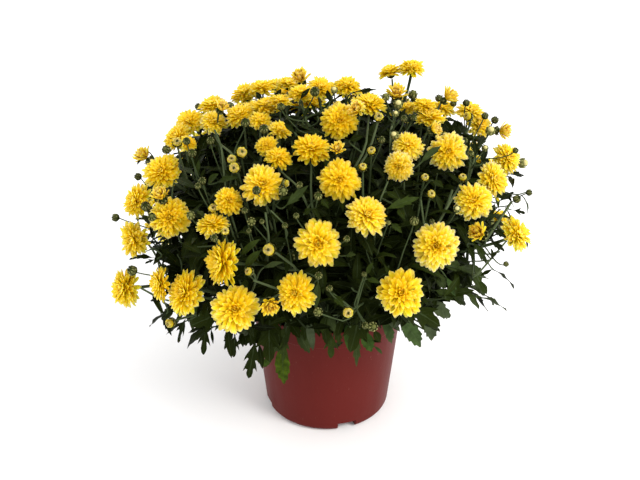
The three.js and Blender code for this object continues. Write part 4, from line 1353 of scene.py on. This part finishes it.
def add_flowers(stems, heads, boughs, shoots, petals):
    """Every flower, and the side stalk of each that has no CAD stem."""
    for index, head in enumerate(heads):
        if head["number"]:
            stem = stems[head["number"] - 1]
            replaced = [f"flower_head_{head['number']:02d}"]
            shoots.add(stem["path"], stem, first=0.55, last=0.93)
        else:
            replaced = []
            calyx = STALK_SHORTFALL if head["kind"] == "open" else 0.42 * head["across"]
            base = head["place"] - head["facing"] * calyx
            path, stem = add_shoot(boughs, base, head["facing"], head["foot"], SHOOT_LENGTH, 12)
            tube(stem["green"], path, (rng.uniform(1.1, 1.35) * MM, MM), 0.5, rng.uniform(0.25, 0.85))
            leaves_along(stem["foliage"], path, **SIDE_FOLIAGE)
            shoots.add(path, stem, first=0.3, last=0.9)
        add_head(head, petals, stem["green"], f"flower_{index + 1:03d}", replaced)


def add_buds(buds, shoots):
    for bud in buds:
        base = bud["place"] - bud["facing"] * 0.45 * bud["across"]
        path, stem = add_shoot(shoots, base, bud["facing"], bud["foot"], BUD_STALK_LENGTH, 8)
        tube(stem["green"], path, BUD_STALK_RADII, 0.6, rng.uniform(0.2, 0.62))
        leaves_along(stem["foliage"], path, **BUD_FOLIAGE)
        add_bud(stem["green"], bud["place"], bud["facing"], bud["across"], bud["ripe"])


def add_bare_stalks(boughs, shoots, pile):
    for tx, ty, fx, fy, radius in BARE_STALKS:
        top, foot = on_dome(tx, ty, 0.99), on_dome(fx, fy, FOOT_REACH)
        path, stem = add_shoot(boughs, top, unit(top - foot), foot, SHOOT_LENGTH, 12)
        tube(pile, path, (radius * MM, 0.8 * radius * MM), 0.5, 0.6)
        shoots.add(path, stem, first=0.4, last=1.0)


def stalked_leaf(shoots, stalks, pile, base, tip, width, kind, tone):
    """A leaf from base to tip, facing the camera and the sky, on a short stalk from a shoot."""
    length = np.linalg.norm(tip - base)
    way = unit(tip - base)
    upper = unit(unit(CAMERA_PLACE - base) + 0.6 * UP + 0.15 * rng.normal(size=3))
    breadth = real_width(width, base) / length / (2 * max(x for x, _, _ in OUTLINES[kind]))
    way = unit(way + 0.5 * SINGLE_LEAF_BEND * unit(upper - (upper @ way) * way))
    blade = length * 1.02  # the bend takes off about as much
    leaf(pile, kind, base, way, upper, blade, SINGLE_LEAF_BEND, SINGLE_LEAF_FOLD, tone, breadth, FINE)
    start = shoots.start_behind(base)
    span = 0.3 * np.linalg.norm(base - start)
    lead = start + span * unit(base - start)
    path = bezier(start, lead, base - way * span, base + way * 0.06 * length, 7)
    tube(stalks, path, LEAF_STALK_RADII, 0.6, 0.4)


def add_single_leaves(heads, shoots, stalks, pile):
    """The leaves that the photograph shows one by one."""
    for bx, by, tx, ty, width, kind, radius, tone in EDGE_LEAVES:
        ends = on_column(bx, by, radius * MM), on_column(tx, ty, (radius + 6) * MM)
        stalked_leaf(shoots, stalks, pile, *ends, width, kind, tone)
    for bx, by, tx, ty, width, kind, tone in DOME_LEAVES:
        reach = reach_for((bx + tx) / 2, (by + ty) / 2, heads, 0.98)
        ends = on_dome(bx, by, reach - 0.02), on_dome(tx, ty, reach + 0.02)
        stalked_leaf(shoots, stalks, pile, *ends, width, kind, tone)


def build_plant():
    petals, leaves, bark, bracts = petal_material(), leaf_material(), stem_material(), bract_material()
    stems = [read_stem(number + 1) for number in range(STEM_COUNT)]
    boughs, shoots = Boughs(), Boughs()
    for stem in stems:
        stem["green"], stem["foliage"] = Pile(), Pile()
        tube(stem["green"], stem["path"], STEM_RADII, 0, rng.uniform(0.3, 0.7), sides=10)
        leaves_along(stem["foliage"], stem["path"], **MAIN_FOLIAGE)
        boughs.add(stem["path"], stem, first=0.25, last=0.86)

    heads = gather_heads(stems)
    add_flowers(stems, heads, boughs, shoots, petals)
    add_buds(gather_buds(heads), shoots)

    stalks, inner_leaves, rim_leaves = Pile(), Pile(), Pile()
    for layer in LEAFY_LAYERS:
        leafy_shoots(boughs, stalks, inner_leaves, *layer)
    for number in range(LOW_SHOOTS):
        path = kept_back(low_shoot_path(number))
        tube(stalks, path, LOW_SHOOT_RADII, 0.1, rng.uniform(0.2, 0.7), sides=8)
        leaves_along(rim_leaves, path, **RIM_FOLIAGE)
        shoots.add(path, stems[0], first=0.3, last=0.98)
    add_bare_stalks(boughs, shoots, stalks)
    add_single_leaves(heads, shoots, stalks, rim_leaves)
    stalks.build("leafy_shoots", [bark], "stem_green")
    inner_leaves.build("leafy_shoot_leaves", [leaves], "leaf_green")
    rim_leaves.build("rim_leaves", [leaves], "leaf_green")

    for stem in stems:
        number = stem["number"]
        stem["green"].build(f"spray_{number:02d}", [bark, bracts], "stem_green", [f"stem_{number:02d}"])
        stem["foliage"].build(f"foliage_{number:02d}", [leaves], "leaf_green")
    build_cad_leaves(stems, leaves)
    build_cad_buds(bark, bracts)


def build_cad_leaves(stems, material):
    """A fine leaf in the place of each CAD leaf, from the end that is nearest a stem."""
    paths = np.concatenate([stem["path"] for stem in stems])
    for name in sorted(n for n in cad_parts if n.startswith("leaf_")):
        points = node_points(name)
        _, normal, along = axes_of(points)
        ends = [points[np.argmin(points @ along)], points[np.argmax(points @ along)]]
        base, tip = sorted(ends, key=lambda end: np.linalg.norm(paths - end, axis=1).min())
        normal = normal if normal[2] > 0 else -normal
        length, way = np.linalg.norm(tip - base), unit(tip - base) + 0.18 * normal
        pile = Pile()
        tone = rng.uniform(0.3, 0.6)
        blade = length * 1.03  # the bend takes off about as much
        leaf(pile, "lobed", base, way, normal, blade, CAD_LEAF_BEND, CAD_LEAF_FOLD, tone, patterns=FINE)
        pile.build(name + "_blade", [material], "leaf_green", [name])


def build_cad_buds(bark, bracts):
    """A fine bud with its stalk in the place of each CAD bud."""
    for name in sorted(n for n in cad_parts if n.startswith("bud_")):
        middle, _, along = axes_of(node_points(name))
        spokes = node_points(name) - middle
        widths = np.linalg.norm(spokes - np.outer(spokes @ along, along), axis=1)
        along = along if spokes[np.argmax(widths)] @ along > 0 else -along
        reach, radius = spokes @ along, widths.max()
        start, place = middle + along * reach.min(), middle + along * (reach.max() - radius)
        pile = Pile()
        path = start + np.linspace(0, 1, 8)[:, None] * (place - start)
        tube(pile, path, CAD_BUD_RADII, 0.6, 0.7, sides=8)
        add_bud(pile, place, along, 2 * radius * 0.96, 0.5)
        pile.build(name + "_bloom", [bark, bracts], "bud_green", [name])


# ------------------------------------------------------------------ pot and soil

POT_SEGMENTS = 144
POT_BASE_RADIUS = 70 * MM
POT_WALL = 1.6 * MM
POT_CREASE = math.radians(35)
BAND_HEIGHT = 20 * MM
BAND_STEP = 2.2 * MM
BAND_FLARE = 0.8 * MM
BAND_ROUNDING = 1.1 * MM
BASE_ROUNDING = 7 * MM
DRAIN_COUNT = 4
FIRST_DRAIN = math.radians(18)
DRAIN_WIDTH = 21 * MM
DRAIN_HEIGHT = 10 * MM
DRAIN_START = 46 * MM
DRAIN_HOLE_DISTANCE = 54 * MM
DRAIN_HOLE_RADIUS = 4.5 * MM
DRAIN_HOLE_SIDES = 24

BAND_BOTTOM = POT_HEIGHT - BAND_HEIGHT
BAND_FOOT = POT_RIM_RADIUS - BAND_FLARE
WALL_SLOPE = (BAND_FOOT - BAND_STEP - POT_BASE_RADIUS) / BAND_BOTTOM


def arc(centre, radius, start, end, count):
    angles = np.radians(np.linspace(start, end, count))
    return [(centre[0] + radius * math.cos(a), centre[1] + radius * math.sin(a)) for a in angles]


def cup_outline(inset, top):
    """Half outline of the pot below its band, from the axis up to the given height."""
    lean = math.atan(WALL_SLOPE)
    foot_radius = POT_BASE_RADIUS + WALL_SLOPE * BASE_ROUNDING - BASE_ROUNDING / math.cos(lean)
    centre = (foot_radius, BASE_ROUNDING)
    flat = [(centre[0] * share, inset) for share in (0.35, 0.7)]
    rounded = arc(centre, BASE_ROUNDING - inset, -90, -math.degrees(lean), 12)
    heights = np.linspace(0.02, top, 6)
    wall = [(POT_BASE_RADIUS + WALL_SLOPE * z - inset / math.cos(lean), z) for z in heights]
    return flat + rounded + wall


def solid(name, points, faces):
    """An object whose faces all look outward."""
    mesh = bpy.data.meshes.new(name)
    mesh.from_pydata([tuple(p) for p in points], [], faces)
    shape = bmesh.new()
    shape.from_mesh(mesh)
    bmesh.ops.recalc_face_normals(shape, faces=shape.faces)
    shape.to_mesh(mesh)
    shape.free()
    return show(bpy.data.objects.new(name, mesh))


def revolve(name, outline, segments):
    """A closed solid of revolution with flat caps where its outline starts and ends."""
    count = len(outline)
    points = [(r * math.cos(a), r * math.sin(a), z) for a in round_turns(segments) for r, z in outline]
    faces = []
    for s in range(segments):
        here, after = s * count, (s + 1) % segments * count
        faces += [(here + i, after + i, after + i + 1, here + i + 1) for i in range(count - 1)]
    faces.append([s * count for s in range(segments)])
    faces.append([s * count + count - 1 for s in range(segments)])
    return solid(name, points, faces)


def radial_block(name, start, end, width, bottom, top, azimuth):
    corners = [
        (sx * width / 2, -y, z)
        for z in (bottom, top) for sx, y in ((-1, start), (1, start), (1, end), (-1, end))
    ]
    block = solid(name, corners, [(0, 1, 2, 3), (7, 6, 5, 4)] + ring_quads(2, 4))
    block.rotation_euler.z = azimuth
    return block


def drill(name, distance, radius, bottom, top, azimuth):
    cutter = revolve(name, [(radius, bottom), (radius, top)], DRAIN_HOLE_SIDES)
    cutter.location = direction(math.degrees(azimuth), 0) * distance
    cutter.rotation_euler.z = azimuth
    return cutter


def cut_away(thing, other):
    modifier = thing.modifiers.new("cut", "BOOLEAN")
    modifier.operation = "DIFFERENCE"
    modifier.object = other
    modifier.solver = "EXACT"
    bpy.context.view_layer.update()
    result = bpy.data.meshes.new_from_object(thing.evaluated_get(bpy.context.evaluated_depsgraph_get()))
    thing.modifiers.clear()
    thing.data = result
    bpy.data.objects.remove(other)


def build_pot():
    lip = POT_WALL / 2
    lip_centre = (POT_RIM_RADIUS - lip, POT_HEIGHT - lip)
    step_centre = (BAND_FOOT - BAND_ROUNDING, BAND_BOTTOM + BAND_ROUNDING)
    shares = (0.25, 0.5, 0.75)
    band = [(BAND_FOOT + BAND_FLARE * share, BAND_BOTTOM + BAND_HEIGHT * share) for share in shares]
    outside = cup_outline(0, BAND_BOTTOM) + arc(step_centre, BAND_ROUNDING, -90, 0, 5) + band
    outside += arc(lip_centre, lip, 0, 90, 6)
    hollow = cup_outline(POT_WALL, BAND_BOTTOM + POT_WALL)
    hollow += [(BAND_FOOT - POT_WALL, BAND_BOTTOM + POT_WALL + 0.4 * MM)]
    hollow += arc(lip_centre, lip, 180, 91, 6) + [(lip_centre[0], POT_HEIGHT + 4 * MM)]
    pot = revolve("pot_shell", outside, POT_SEGMENTS)
    room = revolve("room", hollow, POT_SEGMENTS)
    azimuths = [FIRST_DRAIN + number * 2 * math.pi / DRAIN_COUNT for number in range(DRAIN_COUNT)]
    for azimuth in azimuths:
        start, width, top = DRAIN_START - POT_WALL, DRAIN_WIDTH + 2 * POT_WALL, DRAIN_HEIGHT + POT_WALL
        cut_away(room, radial_block("hood", start, POT_RIM_RADIUS, width, -MM, top, azimuth))
    cut_away(pot, room)
    for azimuth in azimuths:
        under, over = DRAIN_HEIGHT - 3 * MM, DRAIN_HEIGHT + 6 * MM
        channel = (DRAIN_START, POT_RIM_RADIUS, DRAIN_WIDTH, -2 * MM, DRAIN_HEIGHT)
        cut_away(pot, radial_block("channel", *channel, azimuth))
        cut_away(pot, drill("hole", DRAIN_HOLE_DISTANCE, DRAIN_HOLE_RADIUS, under, over, azimuth))
    mesh = pot.data
    mesh.materials.clear()
    mesh.materials.append(pot_material())
    mesh.polygons.foreach_set("material_index", [0] * len(mesh.polygons))
    smoothen(mesh, POT_CREASE)
    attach(pot, "root")
    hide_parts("pot")


SOIL_RINGS, SOIL_SEGMENTS = 26, 96
SOIL_FOOT_SHARE = 0.83
SOIL_FOOT_HEIGHT = 11 * MM
CRUMB_COUNT = 260
SOIL_MARKS = (0, 0, 0.5, 0)


def build_soil():
    """Peat with an uneven, crumbly top, down to the floor of the pot."""
    low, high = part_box("soil")
    radius = (high.x - low.x) / 2
    around, share = round_turns(SOIL_SEGMENTS), np.arange(1, SOIL_RINGS + 1)[:, None] / SOIL_RINGS
    crumbs = 1.5 * rng.normal(size=(SOIL_RINGS, SOIL_SEGMENTS)) * (share < 1)
    waves = 1.6 * np.sin(31 * share + 5 * around) * np.cos(7 * around + SOIL_RINGS * share)
    rise = high.z + (waves + crumbs + 2.2 * (1 - share) - 1.5) * MM
    circle = np.stack([np.cos(around), np.sin(around)], 1)
    top = np.concatenate([radius * share[..., None] * circle, rise[..., None]], 2).reshape(-1, 3)
    floor = low.z + SOIL_FOOT_HEIGHT
    foot = np.insert(SOIL_FOOT_SHARE * radius * circle, 2, floor, 1)
    points = np.concatenate([top, foot, [(0, 0, high.z), (0, 0, floor)]])
    centre = len(points) - 2
    caps = fan(centre, 0, SOIL_SEGMENTS) + fan(centre + 1, len(top), SOIL_SEGMENTS, turned=True)
    pile = Pile()
    pile.add(points, SOIL_MARKS, [ring_quads(SOIL_RINGS + 1, SOIL_SEGMENTS), caps])
    for _ in range(CRUMB_COUNT):
        a, distance = rng.uniform(0, 2 * math.pi), radius * math.sqrt(rng.uniform(0, 0.93))
        size = rng.uniform(0.9, 2.6) * MM
        place = (distance * math.cos(a), distance * math.sin(a), high.z + 0.4 * MM)
        basis = basis_for(unit(rng.normal(size=3)))
        ball(pile, place, basis, size, rng.uniform(0.5, 0.9), SOIL_MARKS, 0, 3, 6)
    pile.build("soil_crumb", [soil_material()], "potting_soil", ["soil"])


# ------------------------------------------------------------------ everything together

add_camera()
add_studio()
add_floor()
build_pot()
build_soil()
build_plant()
